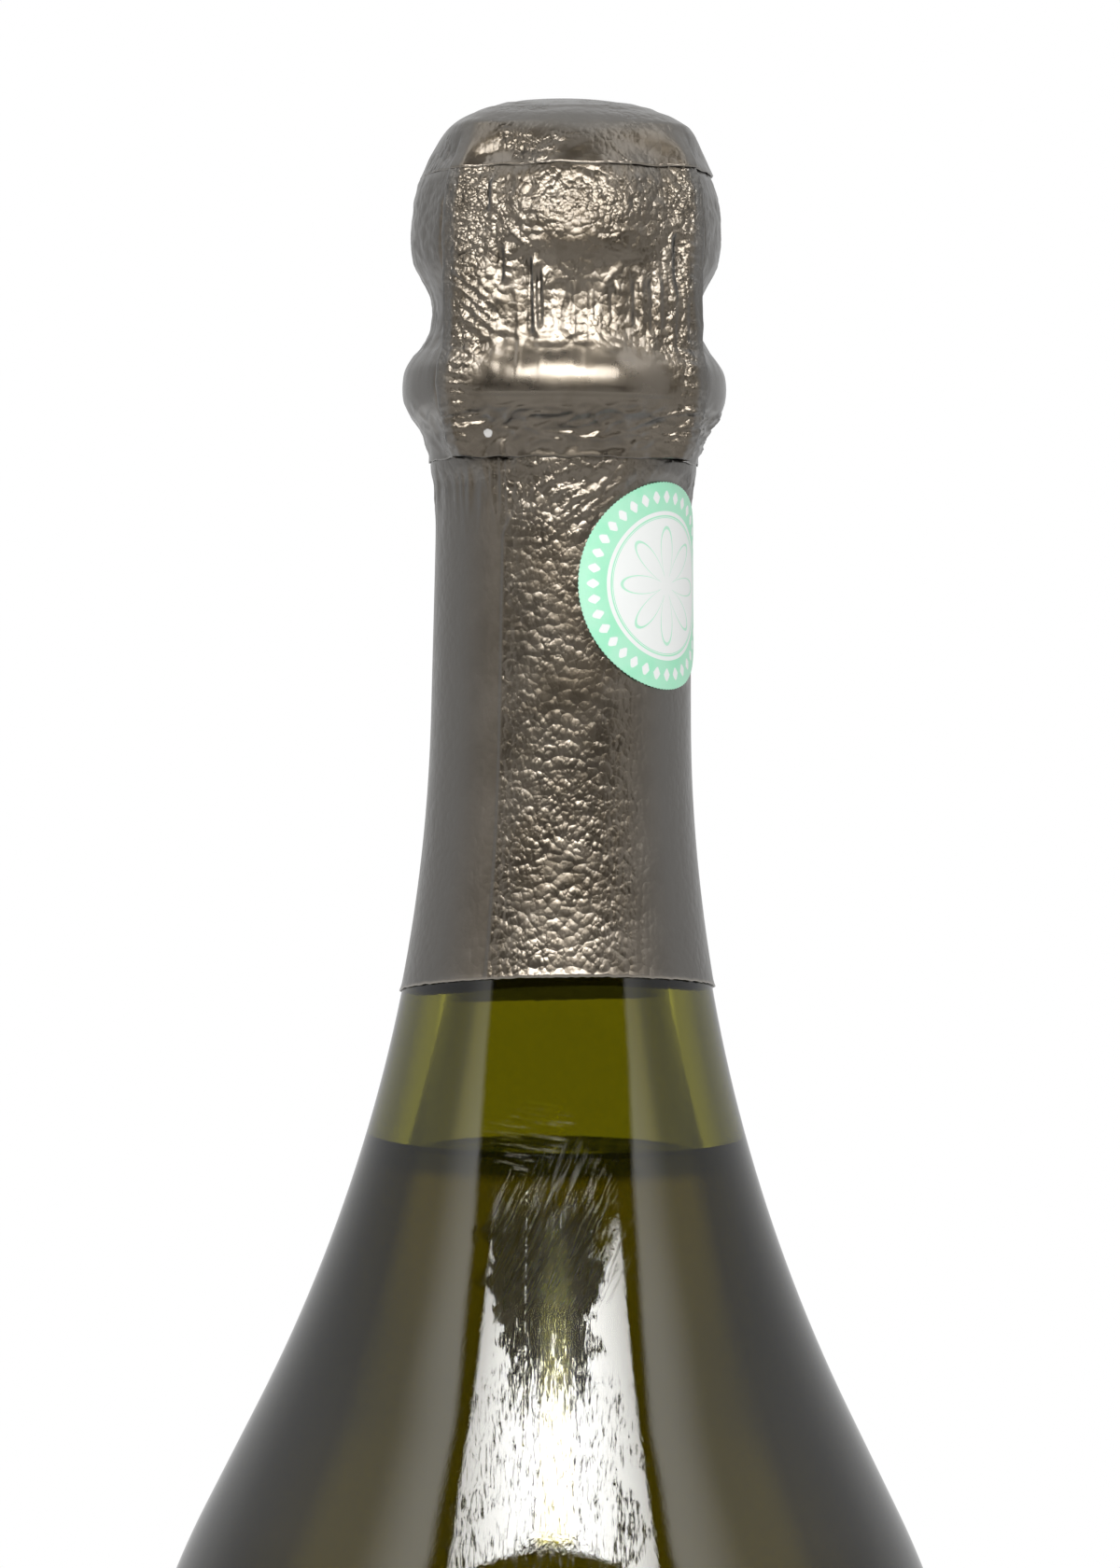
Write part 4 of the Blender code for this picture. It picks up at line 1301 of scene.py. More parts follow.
@dataclass
class Cork:
    """The cork's mushroom head and shank, and its two natural discs, with heights from the rim."""

    head: float = 0.0154
    equator: float = 0.0052
    top: float = 0.0146
    squareness: float = 3.5
    foot: float = 0.0124
    tuck: float = 0.0098
    tuck_drop: float = 0.0013
    shank: float = 0.0085
    shank_middle: float = 0.007
    shank_length: float = 0.0140
    chamfer: float = 0.0006
    disc: float = 0.0040
    disc_ring: float = 0.004
    gap: float = 0.0003
    groove: float = 0.00022
    groove_half: float = 3.0
    pressed_above: Pair = (0.002, 0.004)
    head_from: float = 0.008
    lump: float = 0.00012
    lump_size: float = 0.004
    steps: int = 128
    disc_steps: int = 96
    row: float = 0.0005

    def outline(self) -> Line:
        """Draws the head and the shank.

        Returns:
            The points from the top down, their heights counted from the rim.
        """
        line = []
        for turn in spread(0.0, math.pi / 2, 26):
            r_share = math.sin(turn) ** (2 / self.squareness)
            h_share = abs(math.cos(turn)) ** (2 / self.squareness)
            line.append((self.head * r_share, self.equator + (self.top - self.equator) * h_share))
        for share in spread(0.0, 1.0, 10)[1:]:
            fall = (self.equator - self.gap) * share
            line.append((self.head - (self.head - self.foot) * share**2, self.equator - fall))
        line += [(self.tuck, self.gap), (self.shank, self.gap - self.tuck_drop)]
        line += [(self.shank, -self.shank_middle), (self.shank, self.chamfer - self.shank_length)]
        line += [(self.shank - self.chamfer, -self.shank_length), (0.0, -self.shank_length)]
        line = resampled(line, self.row)
        return [(0.0, line[0][1]), *line[1:-1], (0.0, line[-1][1])]

    def build_body(self, effects: Effects) -> None:
        """Turns the agglomerated cork and presses the wires' grooves into its head.

        Args:
            effects: The shared groups.
        """
        body = lathe("cork_mushroom", [(r, h + RIM) for r, h in self.outline()], self.steps)
        points = points_of(body)
        azimuth, radius, height = to_round(points)
        above = step_up(height - RIM, *self.pressed_above) * (radius > self.head_from)
        pressed = sum(hump(turned_from(azimuth, leg), 0.0, self.groove_half) for leg in LEG_DEGREES)
        lumps = cloud(points, (self.lump_size,) * 3, 3.0) * self.lump * above
        radius = radius - pressed * self.groove * above + lumps * (lumps < 0)
        put_points(body, from_round(azimuth, radius, height))
        dress(body, CorkFinish().make(effects, "pressed_cork"))
        seat(body, Body.CORK, "agglomerated_cork", "cork_body")

    def build(self, effects: Effects) -> None:
        """Makes the three pieces.

        Args:
            effects: The shared groups.
        """
        self.build_body(effects)
        natural = CorkFinish(pale=(0.66, 0.47, 0.29), granule=0.0042, pores=0.9).make(effects, "natural_cork")
        top = RIM - self.shank_length - self.gap
        side, soft = self.shank - self.chamfer, self.chamfer
        for name, node in (("cork_slice_upper", "cork_disc_upper"), ("cork_slice_lower", "cork_disc_lower")):
            low = top - self.disc
            edge = arc((side, top - soft), soft, 90, 0, 4) + arc((side, low + soft), soft, 0, -90, 4)
            outline = [(0.0, top), (self.disc_ring, top), *edge, (self.disc_ring, low), (0.0, low)]
            piece = lathe(name, outline, self.disc_steps)
            dress(piece, natural)
            seat(piece, Body.CORK, "natural_cork", node)
            top = low - self.gap


@dataclass
class Plaque:
    """The pressed cap on the cork, with a groove for the wire, a rolled edge and plain flutes.

    Heights are counted from the rim. A bead is a radius, half a width and a depth.
    """

    top: float = 0.0186
    dome: float = 0.0088
    dome_fall: float = 0.0013
    wire_groove: Outline = ((0.0091, 0.0168), (0.0095, 0.0154), (0.0097, 0.01515), (0.0101, 0.01513))
    edge: float = 0.0118
    edge_foot: float = 0.0130
    edge_out: float = 0.0014
    edge_up: float = 0.00215
    sheet: float = 0.00025
    flutes: int = 24
    flute_depth: float = 0.00009
    fluted: Pair = (0.0125, 0.0131)
    beads: tuple[tuple[float, float, float], ...] = ((0.0066, 0.0004, 0.00018), (0.0030, 0.0003, 0.00012))
    steps: int = 192

    def build(self, effects: Effects) -> None:
        """Turns, presses and dresses the cap.

        Args:
            effects: The shared groups.
        """
        dome = [(self.dome * s, self.top - self.dome_fall * s**2) for s in spread(0.0, 1.0, 14)]
        edge: Line = []
        for turn in spread(0.0, math.pi / 2, 10):
            reach = self.edge + self.edge_out * math.sin(turn)
            edge.append((reach, self.edge_foot + self.edge_up * math.cos(turn)))
        upper = dome + rounded(self.wire_groove) + edge
        outline = upper + aside(upper, self.sheet)[::-1]
        outline[-1] = (0.0, self.top - self.sheet)
        cap = lathe("pressed_cap", [(r, h + RIM) for r, h in outline], self.steps, 60.0)
        azimuth, radius, height = to_round(points_of(cap))
        wave = np.cos(np.radians(azimuth * self.flutes)) * self.flute_depth * step_up(radius, *self.fluted)
        pressed = sum(hump(radius, middle, half) * depth for middle, half, depth in self.beads)
        put_points(cap, from_round(azimuth, radius + wave, height - pressed))
        finish = MetalFinish(colour=(0.42, 0.33, 0.19), tarnish=(0.20, 0.15, 0.08), rough=0.30, turned=True)
        dress(cap, finish.make(effects, "lacquered_tinplate"))
        seat(cap, Body.MUSELET, "tinplate", "muselet_plaque")


@dataclass
class Muselet:
    """The twisted wire cage, its belt and the loop at the back."""

    strand: float = 0.0004
    pitch: float = 0.00036
    belt_wire: float = 0.00045
    ring: float = 0.0106
    ring_height: float = RIM + 0.01585
    belt: float = 0.01350
    belt_leg: float = 0.01475
    belt_height: float = RIM - 0.0164
    belt_swell: float = 16.0
    eyelet: float = 0.00115
    loop_y: float = 0.01746
    loop_gap: float = 0.00106
    stem_foot: float = 0.00038
    stem_top: float = 0.0058
    eye_half_height: float = 0.0033
    eye_half_width: float = 0.0030
    half_turns: int = 18
    end_half_turns: int = 2
    stem_half_turns: int = 6
    leg_row: float = 0.00035
    leg_mm: Outline = (
        (10.6, 15.85), (11.8, 16.51), (13.56, 15.45), (14.56, 13.0), (15.43, 11.55), (16.23, 9.34),
        (16.46, 5.21), (16.35, -6.87), (17.25, -8.81), (17.44, -10.94), (16.88, -13.0), (15.66, -14.76),
        (15.32, -15.25),
    )

    def twisted(self, path: Line, azimuth: float, half_turns: int) -> list[Run]:
        """Two strands twisted round a path in the plane of an azimuth.

        Args:
            path: The middle line, as radius and height.
            azimuth: The plane that the path lies in, in degrees.
            half_turns: How often the strands change sides.

        Returns:
            The points of both strands.
        """
        runs = []
        for side in (1, -1):
            run = []
            for index, (radius, height) in enumerate(path):
                before, after = path[max(index - 1, 0)], path[min(index + 1, len(path) - 1)]
                along = Vector((after[0] - before[0], after[1] - before[1])).normalized()
                turn = math.pi * half_turns * index / (len(path) - 1)
                out, across = side * self.pitch * math.sin(turn), side * self.pitch * math.cos(turn)
                reach, up = radius - along.y * out, height + along.x * out
                base = Vector(around(reach, azimuth, up))
                run.append(tuple(base + Vector(around(1, azimuth + 90, 0)) * across))
            runs.append(run)
        return runs

    def eyelet_run(self, azimuth: float) -> Run:
        """Draws the eyelet at the foot of one leg.

        Args:
            azimuth: The leg's azimuth in degrees.

        Returns:
            The points of a closed ring.
        """
        run = []
        for turn in (math.radians(t) for t in spread(0, 360, 20)[:-1]):
            reach = self.belt_leg + self.eyelet * math.cos(turn)
            run.append(around(reach, azimuth, self.belt_height + self.eyelet * math.sin(turn)))
        return run

    def build_cage(self, steel: Material) -> None:
        """Bends the four twisted legs, the top ring and the eyelets.

        Args:
            steel: The wire's material.
        """
        path = resampled(rounded(metres(self.leg_mm, RIM), 3), self.leg_row)
        legs = [run for leg in LEG_DEGREES for run in self.twisted(path, leg, self.half_turns)]
        cage = wire("wire_cage", legs, self.strand, closed=False)
        loops = [[around(self.ring, t, self.ring_height) for t in spread(0, 360, 96)[:-1]]]
        loops += [self.eyelet_run(leg) for leg in LEG_DEGREES]
        cage = joined(cage, wire("rings", loops, self.strand, closed=True))
        dress(cage, steel)
        seat(cage, Body.MUSELET, "steel_wire", "muselet_cage")

    def build_belt(self, steel: Material) -> None:
        """Bends the belt out to the eyelets, with its two ends twisted together at the back.

        Args:
            steel: The wire's material.
        """
        run = []
        for turn in spread(0, 360, 120)[:-1]:
            near = min(abs(float(turned_from(np.array([turn]), leg)[0])) for leg in LEG_DEGREES)
            swell = (1 + math.cos(math.pi * min(near / self.belt_swell, 1.0))) / 2
            run.append(around(self.belt + (self.belt_leg - self.belt) * swell, turn, self.belt_height))
        belt = wire("wire_belt", [run], self.belt_wire, closed=True)
        ends = [(r, self.belt_height) for r in spread(self.belt, self.loop_y - self.loop_gap, 12)]
        twist = self.twisted(ends, 180.0, self.end_half_turns)
        belt = joined(belt, wire("ends", twist, self.strand, closed=False))
        dress(belt, steel)
        seat(belt, Body.MUSELET, "steel_wire", "muselet_belt")

    def build_loop(self, steel: Material) -> None:
        """Bends the loop, a twisted stem with a round eye.

        Args:
            steel: The wire's material.
        """
        stem = [(self.loop_y, self.belt_height + up) for up in spread(-self.stem_foot, self.stem_top, 28)]
        twist = self.twisted(stem, 180.0, self.stem_half_turns)
        loop = wire("wire_loop", twist, self.strand, closed=False)
        eye = []
        for turn in (math.radians(t) for t in spread(0, 360, 40)[:-1]):
            up = self.stem_top + self.eye_half_height * (1 - math.cos(turn)) - self.strand
            eye.append((self.eye_half_width * math.sin(turn), self.loop_y, self.belt_height + up))
        loop = joined(loop, wire("eye", [eye], self.strand, closed=True))
        dress(loop, steel)
        seat(loop, Body.LOOP, "steel_wire", "muselet_loop")

    def build(self, effects: Effects) -> None:
        """Makes the three pieces.

        Args:
            effects: The shared groups.
        """
        steel = MetalFinish().make(effects, "galvanised_wire")
        self.build_cage(steel)
        self.build_belt(steel)
        self.build_loop(steel)


# Foil capsule


@dataclass
class Foil:
    """What the foil's sheets share: their thickness, their columns and how they are finished."""

    wall: float = 0.00012
    segments: int = 272
    smooth: float = 80.0
    forward_swing: float = 24.0

    def forward(self, points: Array) -> Array:
        """Draws a turned sheet's columns closer together at the front, where folds are finest."""
        azimuth, radius, height = to_round(points)
        return from_round(azimuth - self.forward_swing * np.sin(np.radians(azimuth)), radius, height)

    @staticmethod
    def shape_sheet(piece: Piece, points: Array, relief: Array, edge: Array) -> None:
        """Drapes a turned sheet, and marks how strongly it is pebbled and where its cut edge is."""
        put_points(piece, points)
        mark(piece, "relief", relief)
        mark(piece, "edge", edge)

    def finish_sheet(self, piece: Piece, finish: Material) -> None:
        """Gives a draped sheet its wall and its finish."""
        apply_modifier(piece, "SOLIDIFY", thickness=self.wall, offset=-1.0)
        dress(piece, finish)


@dataclass
class Capsule(Foil):
    """The foil over head, wires and ring: a hood with a pull tab, and a crown disc.

    Heights are counted from the rim. A pair is the start and the end of a soft step, or the middle and
    the half width of a soft bell. Azimuths and widths round the axis are in degrees.
    """

    row: float = 0.00023
    crown_row: float = 0.0003
    side_mm: Outline = (
        (0.0, 19.42), (3.0, 19.36), (5.42, 19.08), (7.5, 18.6), (9.15, 17.95), (10.6, 17.3), (11.62, 16.75),
        (12.73, 15.63), (13.55, 14.47), (14.18, 13.3), (14.67, 12.14), (15.20, 10.98), (15.54, 9.82),
        (15.78, 8.66), (15.94, 7.5), (16.02, 6.2), (16.02, 4.3), (15.83, 2.85), (15.44, 1.69), (14.71, 0.53),
        (13.99, -0.64), (13.60, -1.9), (13.55, -2.96), (13.70, -4.12), (14.04, -5.28), (14.76, -6.44),
        (15.83, -7.61), (16.55, -8.77), (16.78, -9.93), (16.78, -11.09), (16.55, -12.25), (15.92, -13.41),
        (14.90, -14.6), (14.42, -15.6), (14.18, -16.6), (13.85, -17.4), (13.50, -18.0),
    )
    front_mm: Outline = (
        (16.02, 4.6), (15.95, 4.0), (15.69, 2.75), (15.42, 1.5), (15.20, 0.5), (15.04, -0.5), (14.96, -1.2),
        (14.92, -2.0), (14.93, -2.7), (14.97, -3.4), (15.04, -4.0), (15.14, -4.6), (15.28, -5.2),
        (15.43, -5.8), (15.60, -6.4), (15.80, -7.0), (16.03, -7.6), (16.28, -8.2), (16.48, -8.7),
        (16.61, -9.1), (16.71, -9.5), (16.78, -9.9), (16.825, -10.3), (16.85, -10.8), (16.84, -11.3),
        (16.74, -12.0),
    )
    ridge_mm: Outline = (
        (0.0, 19.42), (8.0, 18.6), (11.4, 17.5), (12.3, 17.2), (14.2, 16.1), (15.5, 13.3), (16.3, 11.9),
        (17.1, 9.5), (17.45, 5.2), (17.35, -3.0), (17.4, -6.9), (18.15, -8.8), (18.35, -10.9), (17.85, -13.0),
        (17.1, -14.8), (16.9, -16.2), (16.3, -17.2), (15.9, -18.0),
    )
    # Azimuth, upper end, lower end and depth of each pleat.
    pleats: tuple[tuple[float, ...], ...] = (
        (-13.5, 0.0025, -0.0062, 0.00050), (-10.0, 0.0010, -0.0056, 0.00042),
        (-24.0, 0.0036, -0.0012, 0.00034), (27.0, 0.0006, -0.0056, 0.00036),
        (33.5, 0.0008, -0.0060, 0.00040), (18.0, 0.0000, -0.0046, 0.00024),
        (8.0, -0.0004, -0.0046, 0.00022), (2.0, -0.0004, -0.0040, 0.00018),
        (-29.0, 0.0105, 0.0062, 0.00024),
    )
    fan_shifts: tuple[float, ...] = (-0.0013, 0.0, 0.0011)
    crown_edge: float = 0.0113
    crown_lift: float = 0.00016
    crown_facet: float = 0.0085
    hood_mouth: float = 0.0150
    tab_half: float = 13.6
    tab_top: float = -0.0030
    plate_azimuth: float = 4.0
    plate_middle: float = -0.0037
    plate_half: float = 0.0083
    loop_stand: float = 0.0186
    loop_step: Pair = (-0.0005, -0.0050)
    loop_half: float = 12.0
    print_pitch: float = 0.00112
    print_depth: float = 0.00007
    fold_off: float = 8.6
    fold_depth: float = 0.00045
    slit_azimuth: float = 43.0
    slit_depth: float = 0.00075
    fan_depth: float = 0.00026
    lip_radius: float = 0.01465
    flare_radius: float = 0.01398
    notch: Pair = (-27.0, 6.0)

    def outward(self, azimuth: Array, height: Array, base: Array) -> tuple[Array, Array]:
        """How far the foil stands off its round base over the wires and the loop.

        Args:
            azimuth: Where each point is, in degrees.
            height: Each point's height above the rim, in metres.
            base: The radius of the round base there.

        Returns:
            The radius of the draped foil, and a mask of the wires' twisted print.
        """
        rise = np.maximum(reach_at(metres(self.ridge_mm), height) - base, 0.0)
        waist = hump(height, -0.0025, 0.0050)
        top = step_up(height, 0.0125, 0.0155)
        inner_width = 6.5 + 13.0 * waist + 13.0 * top
        outer_width = 11.0 + 6.0 * waist + 9.0 * top
        radius, print_mask = base.copy(), np.zeros(len(base))
        for leg, side in zip(LEG_DEGREES, LEG_SIDES):
            off = turned_from(azimuth, leg) * side
            inner = np.exp(-((np.maximum(off, 0.0) / inner_width) ** 1.5))
            tuck = 0.42 + 0.58 * np.maximum(step_up(-off, 8.2, 4.6), top)
            outer = tuck * np.exp(-((np.maximum(-off - 5.0, 0.0) / outer_width) ** 1.5))
            radius = np.maximum(radius, base + rise * np.where(off > 0, inner, outer))
            print_mask = np.maximum(print_mask, hump(off, 2.6, 2.8))
        behind = np.maximum(np.abs(turned_from(azimuth, 180.0)) - self.loop_half, 0.0)
        swell = step_up(height, *self.loop_step) * np.exp(-((behind / 9.0) ** 2))
        return np.maximum(radius, base + (self.loop_stand - base) * swell), print_mask

    def crease(self, azimuth: Array, height: Array) -> Array:
        """Presses sharp folds beside each wire, a slit, the waist's pleats and a fan at the left.

        Args:
            azimuth: Where each point is, in degrees.
            height: Each point's height above the rim, in metres.

        Returns:
            How much further in each point lies, in metres.
        """
        upper = step_up(height, 0.0095, 0.0070) * step_up(height, -0.0030, 0.0010)
        lower = step_up(height, -0.0080, -0.0095) * step_up(height, -0.0165, -0.0145)
        deep = np.zeros(len(azimuth))
        for leg, side in zip(LEG_DEGREES, LEG_SIDES):
            drift = 1.2 * np.sin(height / 0.0031 + leg)
            fold = hump(turned_from(azimuth, leg) * side, drift - self.fold_off, 1.3)
            deep += fold * self.fold_depth * (upper + 0.8 * lower)
        slit = hump(azimuth, self.slit_azimuth, 1.5)
        deep += slit * step_up(height, 0.0052, 0.0038) * step_up(height, -0.0022, 0.0006) * self.slit_depth
        for middle, high, low, depth in self.pleats:
            off = azimuth - middle + (height + 0.002) * 120.0
            length = step_up(height, high, high - 0.0016) * step_up(height, low, low + 0.0014)
            deep += length * depth * (1.4 * hump(off, 0.0, 0.9) - 0.9 * hump(off, 2.0, 1.1))
        length = step_up(azimuth, -42.0, -38.0) * step_up(azimuth, -24.0, -29.0)
        for shift in self.fan_shifts:
            off = (height + 0.0014 + (azimuth + 39.6) * 0.00026 + shift) / 0.00030
            deep += length * self.fan_depth * (hump(off, 0.0, 1.0) - 0.7 * hump(off, 2.0, 1.2))
        return deep

    @staticmethod
    def wrinkles(points: Array, azimuth: Array, height: Array) -> Array:
        """Crumples the pressed foil over head, waist and ring.

        Args:
            points: The base's points.
            azimuth: Where each point is, in degrees.
            height: Each point's height above the rim, in metres.

        Returns:
            How much further out each point lies, in metres.
        """
        across, none = azimuth * 0.00028, np.zeros(len(height))
        pleats = crumple(np.column_stack([across, height, none]), (0.0016, 0.012, 1.0), 5.3) ** 2
        fan = np.column_stack([across + height * 0.9, height * 0.4, none])
        fan = crumple(fan, (0.0013, 0.006, 1.0), 9.1) ** 2
        slant = np.column_stack([across - height * 1.3, height * 1.6, none])
        slant = crumple(slant, (0.0030, 0.0016, 1.0), 1.9) ** 2
        chatter = crumple(points, (0.0021, 0.0021, 0.0015), 2.2)
        waist = hump(height, -0.0035, 0.0038)
        head = step_up(height, 0.0125, 0.0100) * step_up(height, 0.0005, 0.0035)
        left = hump(azimuth, -33.0, 9.0)
        under = step_up(height, -0.0120, -0.0140)
        off_ring = 1.0 - 0.9 * hump(height, -0.0100, 0.0022)
        seam = hump(azimuth, -8.3, 0.35) * step_up(height, -0.0055, -0.0065)
        lift = pleats * (0.00034 * waist + 0.00006 * head) + fan * 0.00030 * waist * left
        lift += slant * 0.00034 * under * step_up(azimuth, -70.0, -20.0)
        lift += chatter * (0.00004 + 0.00008 * waist + 0.00005 * head + 0.00014 * under) * off_ring
        lift += seam * 0.00005
        return lift + cloud(points, (0.0060, 0.0060, 0.0050), 7.7) * 0.00012 * off_ring

    def faced(self, azimuth: Array, height: Array, base: Array) -> Array:
        """Fills the round base out to the flatter plate between the two front wires.

        Args:
            azimuth: Where each point is, in degrees.
            height: Each point's height above the rim, in metres.
            base: The radius of the round base there.

        Returns:
            The filled-out radius.
        """
        front = np.maximum(reach_at(rounded(metres(self.front_mm)), height), base)
        plate = step_up(np.abs(turned_from(azimuth, self.plate_azimuth)), 50.0, 36.0)
        plate = plate * (np.abs(height - self.plate_middle) < self.plate_half)
        return base + (front - base) * plate

    def hood_points(self, points: Array, lift: float) -> tuple[Array, Array]:
        """Drapes points of the round base over the closure.

        Args:
            points: The base's points.
            lift: How far the sheet lies further out.

        Returns:
            The draped points, and how strongly each is pebbled.
        """
        azimuth, base, height = to_round(points)
        local = height - RIM
        radius, print_mask = self.outward(azimuth, local, self.faced(azimuth, local, base))
        radius = np.where(base > 0.0005, radius, base)
        twist = np.cos(math.tau * (local / self.print_pitch + azimuth * 0.06))
        beads = twist * self.print_depth * print_mask * step_up(local, 0.0120, 0.0090)
        folds = self.wrinkles(points, azimuth, local) + beads - self.crease(azimuth, local)
        calm = step_up(base, 0.0150, 0.0125)
        radius = radius + folds * (1 - 0.85 * calm) * step_up(base, 0.001, 0.006) + lift
        soft = step_up(local, -0.0010, 0.0040)
        off_plate = np.abs(turned_from(azimuth, self.plate_azimuth))
        plate = step_up(off_plate, 52.0 + 10.0 * soft, 49.0 - 11.0 * soft)
        ends = np.maximum(step_up(azimuth, -17.0, -25.0), step_up(azimuth, 36.0, 43.0))
        lip = plate * step_up(local, -0.0150, -0.0166) * ends
        radius = np.maximum(radius, lip * self.lip_radius)
        near_leg = sum(hump(turned_from(azimuth, leg), 0.0, 13.0) for leg in LEG_DEGREES)
        relief = 0.14 + 0.40 * hump(local, 0.0077, 0.0040) + 0.44 * hump(local, -0.0030, 0.0024)
        relief += 0.45 * near_leg + 0.25 * print_mask - 0.30 * hump(local, -0.0103, 0.0026)
        relief += 0.12 * hump(local, 0.0016, 0.0030)
        relief = np.clip(relief, 0.0, 1.3) * (1 - 0.92 * calm) * (0.35 + 0.65 * plate)
        flare = step_up(local, -0.0162, -0.0178) * (1 - hump(azimuth, *self.notch))
        radius = radius + np.maximum(self.flare_radius - radius, 0.0) * flare
        ragged = cloud(points, (0.0022, 0.0022, 0.1), 6.6) * 0.00020 - 0.00022
        height = height + ragged * step_up(local, -0.0168, -0.0180)
        return from_round(azimuth, np.maximum(radius, 0.0), height), relief

    def part_tab(self, hood: Piece) -> Piece:
        """Parts the pull tab over the loop from the skirt, so that it folds out with the loop.

        Args:
            hood: The draped skirt, which loses the tab's faces.

        Returns:
            The tab.
        """
        azimuth, _, height = to_round(points_of(hood))
        inside = (np.abs(turned_from(azimuth, 180.0)) < self.tab_half) & (height < RIM + self.tab_top)
        take(hood)
        bpy.ops.object.mode_set(mode="EDIT")
        bpy.ops.mesh.select_mode(type="VERT")
        bpy.ops.mesh.select_all(action="DESELECT")
        edit_done()
        hood.data.vertices.foreach_set("select", inside)
        bpy.ops.object.mode_set(mode="EDIT")
        bpy.ops.mesh.separate(type="SELECTED")
        edit_done()
        tab = next(piece for piece in bpy.context.selected_objects if piece != hood)
        tab.name = tab.data.name = "foil_tab"
        return tab

    def build_hood(self, finish: Material) -> None:
        """Turns, drapes and dresses the skirt with its tab.

        Args:
            finish: The foil's material.
        """
        side = [point for point in rounded(metres(self.side_mm)) if point[1] <= self.hood_mouth]
        outline = [(r, h + RIM) for r, h in resampled(side, self.row)]
        hood = lathe("foil_skirt", outline, self.segments, self.smooth)
        places, relief = self.hood_points(self.forward(points_of(hood)), 0.0)
        self.shape_sheet(hood, places, relief, np.zeros(len(relief)))
        tab = self.part_tab(hood)
        self.finish_sheet(hood, finish)
        self.finish_sheet(tab, finish)
        seat(hood, Body.HOOD, "bronze_foil", "foil_hood")
        seat(tab, Body.LOOP, "bronze_foil")

    def build_crown(self, finish: Material) -> None:
        """Turns, drapes and dresses the crown disc, faceted on top and crumpled on its left.

        Args:
            finish: The foil's material.
        """
        disc = [point for point in rounded(metres(self.side_mm)) if point[1] >= self.crown_edge]
        disc = resampled(disc, self.crown_row)
        disc[0] = (0.0, disc[0][1])
        crown = lathe("foil_cap", [(r, h + RIM) for r, h in disc], self.segments, self.smooth)
        flat = self.forward(points_of(crown))
        azimuth, base, height = to_round(flat)
        places, _ = self.hood_points(flat, self.crown_lift)
        facet_size = (self.crown_facet, self.crown_facet, 0.0100)
        facets = crumple(flat, facet_size, 11.0) * 0.00010 * step_up(base, 0.002, 0.008)
        fold = hump(base + azimuth * 0.000004, 0.0092, 0.0004) * 0.00010
        tilt = 0.0003 * np.sin(np.radians(azimuth)) + cloud(flat, (0.004, 0.004, 0.004), 1.4) * 0.0002
        places[:, 2] += facets + fold + tilt * step_up(base, 0.011, 0.0145)
        places[:, 2] = np.minimum(places[:, 2], CAD_BOX[1].z - 0.00002)
        crumpled = step_up(cloud(flat, (0.0050, 0.0050, 0.0040), 2.6), -0.05, 0.30)
        crumpled = crumpled * step_up(azimuth, 60.0, 5.0)
        edge = step_up(height, RIM + self.crown_edge + 0.0004, RIM + self.crown_edge)
        self.shape_sheet(crown, places, 0.14 + 0.75 * crumpled, edge * 0.5)
        self.finish_sheet(crown, finish)
        seat(crown, Body.HOOD, "bronze_foil", "foil_crown")

    def build(self, finish: Material) -> None:
        """Makes the hood with its tab, and the crown."""
        self.build_hood(finish)
        self.build_crown(finish)


